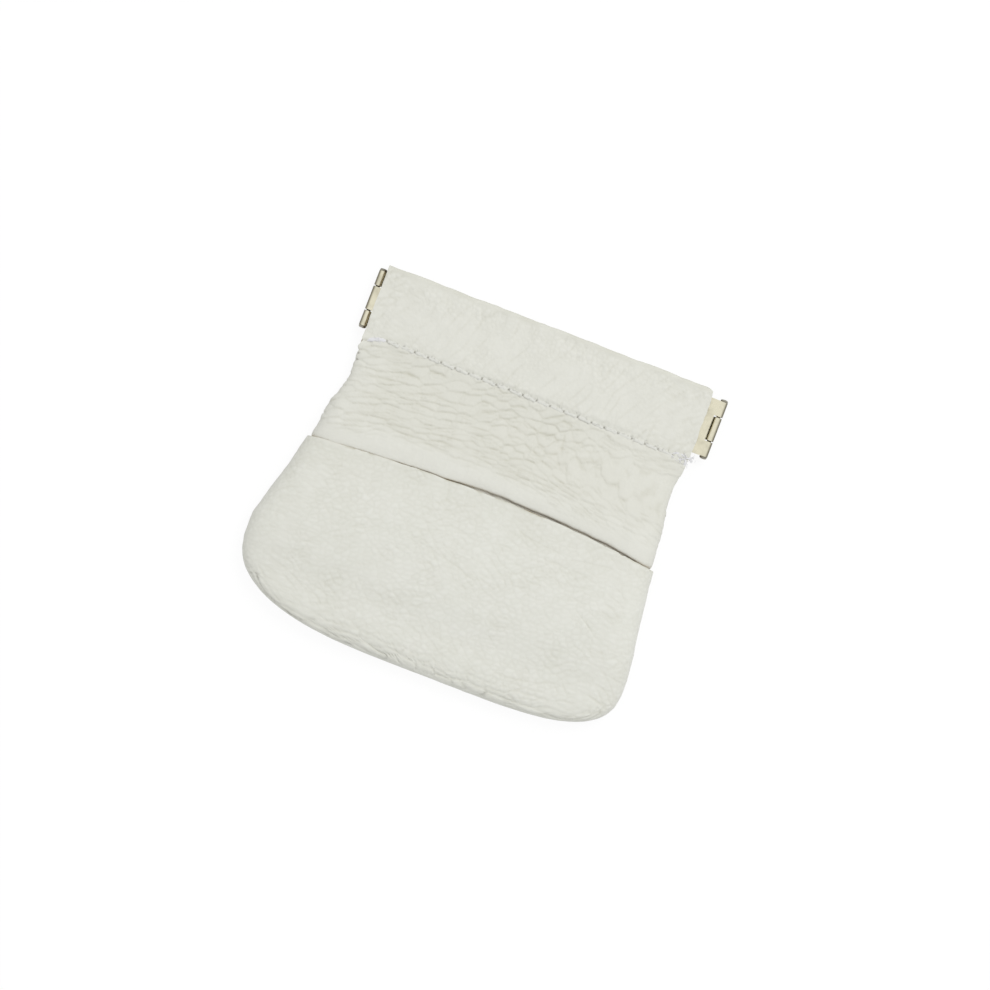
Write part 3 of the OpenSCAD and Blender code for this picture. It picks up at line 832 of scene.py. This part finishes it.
def seam_puckers(x, y, fall, seed):
    """Rows of soft lobes that a turned seam pulls in the leather beside it, fall being how far the skin has
    rolled down. Its darkness is painted shade in the gaps between the lobes"""
    off, way = from_seam(x, y)
    low = fade(y, -31, -37)
    wide, high = 3.0 + 2.6 * low, 2.1
    u = way / wide + 0.4 * noise(way / 6, off / 3, seed)
    v = (off - 0.6 * fall) / high + 0.35 * noise(way / 5, off / 2, seed + 1) + 20
    gap, _, tile, own = cells(u, v, seed + 2, wide, high, 0.34)
    part = hump(off, 1.6 + 2.8 * low) * (0.06 + 0.94 * low) * (0.2 + 0.8 * fade(fall, 2.3, 1.1))
    height = part * (0.36 * (1 - np.exp(-gap / 0.45)) + 0.22 * tile + 0.08 * own - 0.2)
    inner = 0.05 + 0.65 * fade(off, 0.7, 1.8)
    return height, 0.7 * inner * part * hump(gap, 0.26)


back_spacing = 0.4
back_columns = columns_of(22, 262)
back_rows, back_inner_rows = smooth_rows([back_keys(skin, back_spacing) for skin in (0, 1)])
back_places = worn(place_rows(back_rows, back_columns))
x, y = back_places[..., 0], back_places[..., 1]
outer = outer_rows(back_rows)
seen = outer * fade(y, 44.2, 42.5)
casing_height, casing_shade = casing_relief(-x, y)
body_height, body_shade_and_tone = body_relief(*unrolled(back_places, mid_height), 31)
below = below_stitches(x, y)
sewn_height, hole_shade = sewing_relief(x, y)
pucker_height, pucker_shade = seam_puckers(x, y, mid_height - back_places[..., 2], 41)
height = seen * (casing_height * (1 - below) + (body_height + 0.6 * pucker_height) * below)
height = height + outer * sewn_height
# Colour attributes of the back: painted shade in the casing's creases, the body's valleys, creases and seam
# lobes and the needle holes, with a slight even tone on the body
back_shade_and_marks = {"crease_shade_and_tone": seen * (casing_shade * (1 - below) + (body_shade_and_tone + pucker_shade) * below),
              "soil_and_shade": outer * hole_shade}
back_outside = raised(back_places, height)
back_inside = worn(place_rows(back_inner_rows, back_columns))
for places in (back_outside, back_inside):
    places[..., 2] = mid_height - places[..., 2]
back_outside[..., 2] = np.maximum(back_outside[..., 2], 0)
back_panel = sheet("back_leather", back_outside[:, ::-1], back_inside[:, ::-1],
                   {label: values[:, ::-1] for label, values in back_shade_and_marks.items()}, 24.0)
for finish in (panel_leather, flesh_side, cut_edge):
    back_panel.data.materials.append(finish)
follow_frame(back_panel, -1)
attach(back_panel, "pouch")
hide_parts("back_panel")


# Slip pocket: a third piece of the same hide laid on the front, sewn into the side and bottom seam and
# left open at the top, where its knife-cut edge sinks towards both ends.
def pocket_keys(skin, spacing):
    sunk = skin * leather
    keys = []
    for y in np.linspace(pocket_top, bottom + front_roll, 14):
        dip = fade(y, bottom + front_roll, pocket_top)
        keys.append([y, crown_at(y) - sunk, 1, 0, sunk, front_roll - sunk, dip, spacing])
    roll = front_roll - sunk
    return keys + bottom_rows(12, sunk, pocket_crown[-1] - sunk, roll, roll, spacing)


# The photograph's larger folds, and its small dark marks at the bottom seam
pocket_folds = [
    (-12.9, -14.1, 8.8, -19.7, 0.5, 0.32, 0.06),
    (-3.6, -9.7, 3.2, -7.8, -0.4, 0.3, 0.06),
    (13.7, -4.7, 26.1, -6.3, 0.6, 0.3, 0.08),
    (24.5, -6.4, 37.3, -4.4, 0.5, 0.3, 0.07),
    (16.2, -8.1, 34.8, -8.8, 0.4, 0.3, 0.06),
    (11.9, -3.5, 15.0, -6.0, 0.3, 0.3, 0.07),
    (31.1, -16.5, 38.5, -21.2, 0.3, 0.22, 0.1),
    (40.4, -22.7, 41.3, -24.3, 0.1, 0.22, 0.1),
    (-35.9, -5.4, -32.8, -8.2, 0.3, 0.3, 0.06),
    (-31.5, -5.3, -25.5, -5.1, -0.3, 0.3, 0.05),
    (-8.0, 1.5, -6.4, -4.0, 0.2, 0.3, 0.06),
    (-3.0, 0.9, -2.2, -2.0, 0.1, 0.25, 0.06),
    (3.2, 0.7, 4.6, -2.4, 0.2, 0.25, 0.06),
    (17.0, -38.0, 36.0, -34.0, -0.8, 0.4, 0.07),
    (24.0, -40.0, 42.0, -36.5, -0.8, 0.4, 0.06),
    (42.0, -28.5, 49.5, -29.5, 0.2, 0.35, 0.07),
    (41.5, -31.5, 49.0, -32.6, 0.2, 0.35, 0.07),
    (41.0, -34.5, 48.0, -36.4, 0.2, 0.35, 0.07)]
seam_marks = [(-42.4, -36.7, -0.6, 0.4, 0.17), (-43.0, -35.9, 0.5, 0.3, 0.14),
              (-32.7, -41.8, -0.7, 0.4, 0.17), (-31.6, -42.2, 0.1, 0.5, 0.12)]

pocket_spacing = 0.25
pocket_columns = columns_of(34, 318)
pocket_rows, pocket_inner_rows = smooth_rows([pocket_keys(skin, pocket_spacing) for skin in (0, 1)])
pocket_places = worn(place_rows(pocket_rows, pocket_columns))
row_y = pocket_rows[:, :1]
x = pocket_places[..., 0]
wave = 0.1 * ripple(x / 4, 75) + 0.05 * ripple(x / 1.1, 76) - 0.35 * hump(x - 37, 0.5)
pocket_places[..., 1] += wave * hump(row_y - pocket_top, 1.5)
y = pocket_places[..., 1]
body_height, body_shade_and_tone = body_relief(*unrolled(pocket_places, crown_at(y)), 51)
fold_depth, pocket_fold_shade = folds(x, y, pocket_folds)
fallen = np.maximum(crown_at(y) - pocket_places[..., 2], 0)
pucker_height, pucker_shade = seam_puckers(x, y, fallen, 61)
calm = 0.35 + 0.65 * fade(fallen, 3.6, 1.4)
rim = hump(row_y - pocket_top, 0.35)
height = calm * (body_height - fold_depth + pucker_height) - 0.12 * rim
tan = rim * fade(ripple(x / 2.5, 77), -0.2, 0.7)
# Darker towards the pocket's top, and painted shade down its left side, where the light is weaker
top_darkening_and_left_shade = 0.2 * fade(y, -9, -2) + 0.1 * fade(x, -10, -30)
# Colour attributes of the pocket: painted shade in grain, folds and seam lobes, the cut edge's tan tone,
# and real small marks at the seam
pocket_shade_and_marks = {
    "crease_shade_and_tone": calm * (body_shade_and_tone + 0.6 * pocket_fold_shade + pucker_shade) + top_darkening_and_left_shade + 1.3 * tan,
    "soil_and_shade": 0.6 * spots(x, y, seam_marks)}
pocket_outside = raised(pocket_places, height)
pocket_inside = worn(place_rows(pocket_inner_rows, pocket_columns))
pocket_outside[..., 2] += mid_height
pocket_inside[..., 2] += mid_height
pocket_panel = sheet("pocket_leather", pocket_outside, pocket_inside, pocket_shade_and_marks, -1.6)
pocket_finish = grain_leather("pebbled_cowhide_pocket", "#e5e5de", "#e0e1d8")
for finish in (pocket_finish, flesh_side, cut_edge):
    pocket_panel.data.materials.append(finish)
follow_frame(pocket_panel, 1)
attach(pocket_panel, "pouch")
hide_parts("pocket_panel")


# Casing seams: white spun thread, two plies, lockstitched through the casing and its hem. Each stitch
# is one run from a needle hole to the next, sunk at both ends.
thread_radius = 0.46
hem_thread_radius = 0.17
hair_radius = 0.06
flatness = 0.34
ply_turns = 0.8


def thread_runs(name, runs, around=10, lengthwise=14):
    """Two-ply thread: each run is a list of points in mm and a radius, with both ends closed"""
    shape = bmesh.new()
    for points, radius in runs:
        verts = bmesh.ops.create_uvsphere(shape, u_segments=around, v_segments=lengthwise,
                                          radius=1)["verts"]
        ball = np.array([vert.co for vert in verts])
        points = np.array(points, float)
        turn = np.arctan2(ball[:, 1], ball[:, 0])
        part = np.arccos(np.clip(-ball[:, 2], -1, 1)) / math.pi
        spine, before, after = (
            np.stack([along(line, np.clip(part + off, 0, 1)) for line in points.T], 1)
            for off in (0, -0.03, 0.03))
        ahead = after - before
        ahead /= np.maximum(np.linalg.norm(ahead, axis=1, keepdims=True), 1e-9)
        across = np.cross((0.0, 0.0, 1.0), ahead)
        across /= np.maximum(np.linalg.norm(across, axis=1, keepdims=True), 1e-9)
        up = np.cross(ahead, across)
        length = np.linalg.norm(np.diff(points, axis=0), axis=1).sum()
        thick = radius * np.minimum(1, 1.7 * np.hypot(ball[:, 0], ball[:, 1]))
        thick = thick * (1 + 0.12 * np.cos(2 * (turn - ply_turns * math.pi * part * length)))
        thick = thick * (1 + 0.22 * noise(part * length / 0.5 + points[0, 0], np.sin(turn), 81))
        places = spine + across * (thick * np.cos(turn))[:, None]
        places = places + up * (flatness * thick * np.sin(turn))[:, None]
        for vert, place in zip(verts, places):
            vert.co = place * metre
    for face in shape.faces:
        face.smooth = True
    return piece_of(name, shape)


# Spun cotton thread, bleached white: matt, hairy, and faintly grey between its plies
cotton = dict(fibre=0.35, detail=4.0, strength=0.6, depth=0.1, roughness=0.95)
thread = fibrous("spun_cotton_thread", "#e2e2dc", "#d6d6ce", **cotton)
clean_thread = fibrous("spun_cotton_thread_ends", "#e8e8ea", "#dadadb", **cotton)


def skin_height(outside, x, y):
    """Height of a sheet's face at a place, leaving out the hem, which lies near the middle plane"""
    on_hem = np.abs(outside[..., 2] - mid_height) < 1
    gap = (outside[..., 0] - x) ** 2 + (outside[..., 1] - y) ** 2 + np.where(on_hem, 99, 0)
    return outside.reshape(-1, 3)[np.argmin(gap), 2]


def loose_hairs(draws, x, y, z, count):
    """Loose cotton hairs that stand off the thread"""
    hairs = []
    for _ in range(count):
        start = np.array([x + draws.uniform(-1.5, 1.5), y + draws.uniform(-0.3, 0.3), z])
        turn, reach = draws.uniform(0, 2 * math.pi), draws.uniform(0.4, 1.0)
        end = start + np.array([reach * math.cos(turn), reach * math.sin(turn), 0.1])
        bend = (start + end) / 2 + np.array([*draws.uniform(-0.2, 0.2, 2), 0.12])
        hairs.append((np.array([start, bend, end]), hair_radius))
    return hairs


def casing_runs(outside, face):
    """The outer run and the run on the hem between each two needle holes, and loose hairs"""
    runs, hairs, draws = [], [], np.random.default_rng(83)
    for here, there in zip(hole_x[:-1], hole_x[1:]):
        at = np.array([here + 0.15, here + 0.8, there - 0.8, there - 0.15])
        lines = sewing_line(at) + np.array([0.2, 0.1, -0.08, -0.16])
        middle = (here + there) / 2
        skin = skin_height(outside, middle, sewing_line(middle))
        sunk = skin + face * np.array([-0.2, -0.02, 0.0, -0.2])
        runs.append((np.stack([at, lines, sunk], 1), thread_radius))
        hem_skin = mid_height + face * (pinched_hem - 0.12 + np.array([0.1, -0.02, -0.02, 0.1]))
        runs.append((np.stack([at, lines, hem_skin], 1), hem_thread_radius))
        hairs += loose_hairs(draws, middle, lines[0], skin + 0.05 * face, 4 if face > 0 else 2)
    return runs, hairs


def thread_ends(outside):
    """Where the front row starts and ends: a backtack on the left, a pulled loop and tail on the right.
    Each route is places, a radius, and the rise over the skin at its two ends."""
    skin = skin_height(outside, 30.0, sewing_line(30.0)) + 0.12
    routes = [
        ([(-33.9, 27.35), (-35.4, 27.1), (-37.0, 26.6), (-38.7, 26.0)], 0.46, (-0.2, 0.0)),
        ([(-34.5, 26.95), (-36.2, 26.75), (-37.6, 26.15), (-38.5, 25.8)], 0.34, (-0.1, 0.0)),
        ([(39.7, 26.75), (41.0, 27.3), (42.3, 27.35), (43.4, 26.9)], 0.2, (-0.1, 0.1)),
        ([(39.6, 26.5), (40.8, 25.95), (42.2, 26.1), (43.4, 26.8)], 0.2, (-0.1, 0.1)),
        ([(43.2, 26.95), (44.0, 27.0), (44.7, 27.3), (45.3, 27.8)], 0.2, (0.1, 0.2)),
        ([(43.9, 27.0), (44.4, 26.9), (44.8, 26.6), (45.0, 26.2)], 0.17, (0.1, 0.1)),
        ([(43.4, 26.6), (43.6, 26.0), (43.7, 25.4), (43.5, 24.8)], 0.3, (0.0, -0.1))]
    runs, draws = [], np.random.default_rng(84)
    for route, radius, rise in routes:
        points = np.array(route)
        heights = skin + np.interp([0, 1, 2, 3], [0, 1.5, 3], [rise[0], 0.08, rise[1]])
        runs.append((np.column_stack([points, heights]), radius))
        runs += loose_hairs(draws, *points[1:3].mean(0), skin + 0.1, 6)
    return runs


for face, outside, label in ((1, front_outside, "front"), (-1, back_outside, "back")):
    runs, hairs = casing_runs(outside, face)
    parts = [(thread_runs(f"{label}_casing_thread", runs), thread),
             (thread_runs(f"{label}_casing_fibres", hairs, 4, 4), thread)]
    if face > 0:
        parts.append((thread_runs("front_casing_thread_ends", thread_ends(outside)), clean_thread))
    for part, finish in parts:
        part.data.materials.append(finish)
        follow_frame(part, face)
        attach(part, "pouch")
        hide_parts(f"{label}_casing_stitching")


# Turned seam: the same thread, sewn round the sides and the bottom from inside before the purse is
# turned out, so that it shows only from within.
seam_thread_radius = 0.22
seam_inset = step + leather + 0.55
seam_pitch = 4.0
side_rows = np.linspace(20.6, bottom + seam_inset + 0.4, 24)
seam_route = ([(frame_middle - side_at(np.array(y), seam_inset, left_side), y) for y in side_rows]
              + [(frame_middle + side_at(np.array(y), seam_inset, right_side), y) for y in side_rows[::-1]])
seam_route = np.array(seam_route, float)
way = np.r_[0, np.cumsum(np.hypot(*np.diff(seam_route, axis=0).T))]
marks = np.linspace(0, way[-1], int(way[-1] / seam_pitch))
seam_points = np.stack([np.interp(marks, way, seam_route[:, k]) for k in (0, 1)], 1)
seam_runs = []
for here, there in zip(seam_points[:-1], seam_points[1:]):
    ahead = (there - here) * 0.05
    stitch = [[*place, mid_height] for place in (here + ahead, (here + there) / 2, there - ahead)]
    seam_runs.append((stitch, seam_thread_radius))
seam_thread = thread_runs("seam_thread", seam_runs, 8, 8)
seam_thread.data.materials.append(thread)
follow_frame(seam_thread, 1)
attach(seam_thread, "pouch")
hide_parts("seam_stitching")


# Spring strips: hardened and tempered steel ribbon, 0.4 mm thick, blanked, its end tabs rolled into
# knuckles round the hinge pins, then plated a pale champagne. The back strip is the front one turned.
strip_thickness = 0.4
bore_radius = knuckle_radius - strip_thickness
knuckle_slot = 0.25
notch = knuckle_radius + knuckle_slot
centre_knuckle = 5.9
knuckle_gap = 0.3
roll_angle = math.radians(297.8)
roll_steps = 30
outer_knuckle = (strip_height - centre_knuckle) / 2 - knuckle_gap
tab_lines = [0, outer_knuckle, outer_knuckle + knuckle_gap, outer_knuckle + knuckle_gap + centre_knuckle,
             strip_height - outer_knuckle, strip_height]
hinge_left, hinge_right = frame_middle - half_span, frame_middle + half_span


def strip(name, face, left_tabs, right_tabs):
    """A whole strip on its bore side: a plate with stepped ends whose tabs are rolled"""
    spans = np.linspace(hinge_left + notch, hinge_right - notch, 45)
    stops = np.r_[hinge_left, spans, hinge_right]
    shape = bmesh.new()
    bmesh.ops.create_grid(shape, x_segments=len(stops) - 1, y_segments=len(tab_lines) - 1, size=1)
    for vert in shape.verts:
        column = round((vert.co.x + 1) / 2 * (len(stops) - 1))
        line = round((vert.co.y + 1) / 2 * (len(tab_lines) - 1))
        x = stops[column]
        bow = strip_bow * max(0, 1 - abs(x - frame_middle) / half_span)
        vert.co = (x, strip_bottom + tab_lines[line], mid_height + face * (bore_radius + bow))
    centre = strip_bottom + strip_height / 2
    for end, tabs in ((hinge_left, left_tabs), (hinge_right, right_tabs)):
        cut = []
        for cell in shape.faces:
            spot = cell.calc_center_median()
            in_centre = abs(spot.y - centre) < centre_knuckle / 2
            in_outer = abs(spot.y - centre) > centre_knuckle / 2 + knuckle_gap
            kept = in_centre if tabs == "centre" else in_outer
            if abs(spot.x - end) < notch and not kept:
                cut.append(cell)
        bmesh.ops.delete(shape, geom=cut, context="FACES")
        lip = [edge for edge in shape.edges if all(abs(vert.co.x - end) < 1e-4 for vert in edge.verts)]
        rim = lip + list({vert for edge in lip for vert in edge.verts})
        side = -1 if end < frame_middle else 1
        bmesh.ops.spin(shape, geom=rim, cent=(end, 0, mid_height), axis=(0, 1, 0),
                       angle=side * face * roll_angle, steps=roll_steps)
    bmesh.ops.remove_doubles(shape, verts=shape.verts, dist=1e-4)
    bmesh.ops.recalc_face_normals(shape, faces=shape.faces[:])
    shape.faces.ensure_lookup_table()
    middle = min(shape.faces, key=lambda cell: abs(cell.calc_center_median().x - frame_middle))
    if middle.normal.z * face < 0:
        bmesh.ops.reverse_faces(shape, faces=shape.faces[:])
    for cell in shape.faces:
        cell.smooth = True
    # Painted dark reflection on the outer side of each knuckle
    dark_edge_reflection = shape.verts.layers.float.new("dark_edge_reflection")
    for vert in shape.verts:
        outward = abs(vert.co.x - frame_middle) - half_span
        vert[dark_edge_reflection] = float(fade(outward, 0.12, 0.48))
    bmesh.ops.scale(shape, vec=(metre, metre, metre), verts=shape.verts)
    piece = piece_of(name, shape)
    wall = piece.modifiers.new("wall", "SOLIDIFY")
    wall.thickness, wall.offset = strip_thickness * metre, 1
    edge = piece.modifiers.new("deburred", "BEVEL")
    edge.width, edge.segments = 0.05 * metre, 2
    edge.limit_method, edge.angle_limit = "ANGLE", math.radians(50)
    return piece


def plated_steel(name, pale, deep):
    """Cold-worked steel under a thin flash of plating: satin, with lines along its length, drawn 0.35 mm
    apart so that they show, dulled and tarnished in patches, and with painted dark reflection on the outer
    side of the knuckles"""
    made, tree, shader = material(name)
    place = node(tree, "ShaderNodeTexCoord").outputs["Object"]
    drawn = node(tree, "ShaderNodeMapping", {"Vector": place, "Scale": (0.04, 1, 1)}).outputs[0]
    lines = node(tree, "ShaderNodeTexNoise", {"Vector": drawn, "Scale": per_mm(0.35),
                                              "Detail": 3.0}).outputs["Fac"]
    patches = node(tree, "ShaderNodeTexNoise", {"Vector": place, "Scale": per_mm(2.2),
                                                "Detail": 4.0}).outputs["Fac"]
    dulled = node(tree, "ShaderNodeMapRange", {0: patches, 1: 0.45, 2: 0.95}).outputs[0]
    colour = node(tree, "ShaderNodeMix", {0: dulled, 6: srgb(pale), 7: srgb(deep)},
                  data_type="RGBA").outputs[2]
    # Painted dark reflection: a brownish grey on the outer side of the knuckles
    dark_edge_reflection = node(tree, "ShaderNodeAttribute", attribute_name="dark_edge_reflection").outputs["Fac"]
    reflection_darkened = node(tree, "ShaderNodeMix", {0: dark_edge_reflection, 6: colour, 7: srgb("#6f6a58")},
                data_type="RGBA").outputs[2]
    tree.links.new(reflection_darkened, shader.inputs["Base Color"])
    rough = node(tree, "ShaderNodeMapRange", {0: patches, 1: 0.3, 2: 0.7, 3: 0.24, 4: 0.4}).outputs[0]
    tree.links.new(rough, shader.inputs["Roughness"])
    bump = node(tree, "ShaderNodeBump", {"Height": lines, "Strength": 0.15, "Distance": 0.03 * metre})
    tree.links.new(bump.outputs[0], shader.inputs["Normal"])
    shader.inputs["Metallic"].default_value = 1
    return made


# Cold-rolled strip with a pale gold flash, bright on the flat, with painted dark reflection on the outer
# side of each roll
spring_plating = plated_steel("champagne_plated_spring_steel", "#e2ddc6", "#c2bda8")
hinge_y = strip_bottom + strip_height / 2
strips = {"front": (1, "centre", "outer"), "back": (-1, "outer", "centre")}
for label, (face, left_tabs, right_tabs) in strips.items():
    ribbon = strip(f"{label}_spring_strip", face, left_tabs, right_tabs)
    ribbon.data.materials.append(spring_plating)
    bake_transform(ribbon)
    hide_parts(f"{label}_strip_left", f"{label}_strip_right")


# Hinge pins: drawn steel wire of 1.05 mm, pushed through the knuckles and peened to a domed head at
# both ends.
pin_play = 0.05
pin_radius = bore_radius - pin_play
head_radius = 0.925
head_height = 0.55
head_lip = 0.06
head_squareness = 0.6
head_play = 0.05


def pin(name, place):
    low, high = strip_bottom - head_play, strip_top + head_play
    dome = [(head_radius * max(math.cos(turn), 0) ** head_squareness,
             head_height * math.sin(turn) ** head_squareness) for turn in np.linspace(0, math.pi / 2, 9)]
    outline = [(radius, low - rise) for radius, rise in reversed(dome)]
    outline += [(head_radius - head_lip, low), (pin_radius, low)]
    outline += [(pin_radius, high), (head_radius - head_lip, high)]
    outline += [(radius, high + rise) for radius, rise in dome]
    shape = bmesh.new()
    verts = [shape.verts.new((place + max(radius, 0), y, mid_height)) for radius, y in outline]
    edges = [shape.edges.new(pair) for pair in zip(verts[:-1], verts[1:])]
    bmesh.ops.spin(shape, geom=verts + edges, cent=(place, 0, mid_height), axis=(0, 1, 0),
                   angle=2 * math.pi, steps=32, use_merge=True)
    bmesh.ops.remove_doubles(shape, verts=shape.verts, dist=1e-4)
    bmesh.ops.recalc_face_normals(shape, faces=shape.faces[:])
    for vert in shape.verts:
        if abs(vert.co.y - hinge_y) > strip_height / 2 + 0.1:
            dent = 0.05 * noise(np.array(vert.co.x * 3.1), np.array(vert.co.z * 3.1 + vert.co.y), 77)
            vert.co.y += float(dent) * (1 if vert.co.y > hinge_y else -1)
    for cell in shape.faces:
        cell.smooth = True
    bmesh.ops.scale(shape, vec=(metre, metre, metre), verts=shape.verts)
    return piece_of(name, shape)


# Drawn wire whose plating the hammer has broken, so its heads are dark and dull
peened_wire = plated_steel("peened_steel_wire", "#9b978a", "#4a463f")
for label, place, body in (("left", hinge_left, "back_left"), ("right", hinge_right, "back_right")):
    wire = pin(f"{label}_pin", place)
    wire.data.materials.append(peened_wire)
    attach(wire, body)
    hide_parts(f"{label}_hinge_pin")


# Studio: a white table under a wide soft sky, a little brighter from the right of the picture, and a
# camera that looks straight down with the purse turned clockwise in its frame. The picture's width is
# true at the scale height above the table.
picture_turn = math.radians(21.06)
picture_width = 238.3
scale_height = 4.0
aim = (3.7, 2.13)
lens, sensor = 100.0, 36.0
low_sky, high_sky = 0.53, 0.763
key_way, key_distance = np.array([0.26, 0.50, 0.80]), 1.1


def seen_directly(tree):
    """1 for a ray from the camera, a mirror or glass, and 0 for light that falls on the purse"""
    paths = node(tree, "ShaderNodeLightPath")
    shown = node(tree, "ShaderNodeMath", {0: paths.outputs["Is Camera Ray"],
                                          1: paths.outputs["Is Glossy Ray"]}, operation="MAXIMUM")
    return node(tree, "ShaderNodeMath", {0: shown.outputs[0], 1: paths.outputs["Is Transmission Ray"]},
                operation="MAXIMUM").outputs[0]


shape = bmesh.new()
bmesh.ops.create_grid(shape, x_segments=1, y_segments=1, size=3)
floor = piece_of("table", shape)

# Matt white table: it shows as pure white, while the light it throws back on the purse stays soft
table_white, tree, shader = material("white_studio_table")
shader.inputs["Base Color"].default_value = srgb("#595959")
shader.inputs["Roughness"].default_value = 1
shader.inputs["Specular IOR Level"].default_value = 0
plain = node(tree, "ShaderNodeBsdfDiffuse", {"Color": srgb("#e7e7e7")})
shader.inputs["Emission Color"].default_value = srgb("#ffffff")
shader.inputs["Emission Strength"].default_value = 0.91
mixed = node(tree, "ShaderNodeMixShader", {0: seen_directly(tree), 1: plain.outputs[0],
                                           2: shader.outputs[0]})
tree.links.new(mixed.outputs[0], tree.nodes["Material Output"].inputs["Surface"])
floor.data.materials.append(table_white)

world = bpy.data.worlds.new("studio_sky")
world.use_nodes = True
bpy.context.scene.world = world
tree = world.node_tree
sky = tree.nodes["Background"]
way_up = node(tree, "ShaderNodeSeparateXYZ", {0: node(tree, "ShaderNodeTexCoord").outputs["Generated"]})
rising = node(tree, "ShaderNodeMapRange", {0: way_up.outputs["Z"], 1: 0.05, 2: 0.62, 3: low_sky,
                                           4: high_sky}, interpolation_type="SMOOTHSTEP").outputs[0]
glow = node(tree, "ShaderNodeMix", {0: seen_directly(tree), 2: rising, 3: 1.0},
            data_type="FLOAT").outputs[0]
tree.links.new(glow, sky.inputs["Strength"])
sky.inputs["Color"].default_value = srgb("#ffffff")

lamp = bpy.data.lights.new("soft_key", "AREA")
lamp.shape, lamp.size, lamp.energy = "DISK", 0.6, 4.2
key = placed("soft_key", lamp)
key.location = key_way / np.linalg.norm(key_way) * key_distance
key.rotation_euler = key.location.to_track_quat("Z", "Y").to_euler()
key.visible_glossy = False

view_distance = picture_width * metre * lens / sensor
lens_data = bpy.data.cameras.new("camera")
lens_data.lens, lens_data.sensor_width = lens, sensor
lens_data.clip_start = 0.01
camera = placed("camera", lens_data)
camera.location = (aim[0] * metre, aim[1] * metre, view_distance + scale_height * metre)
camera.rotation_euler = (0, 0, picture_turn)
bpy.context.scene.camera = camera
bpy.context.scene.view_settings.view_transform = "Standard"
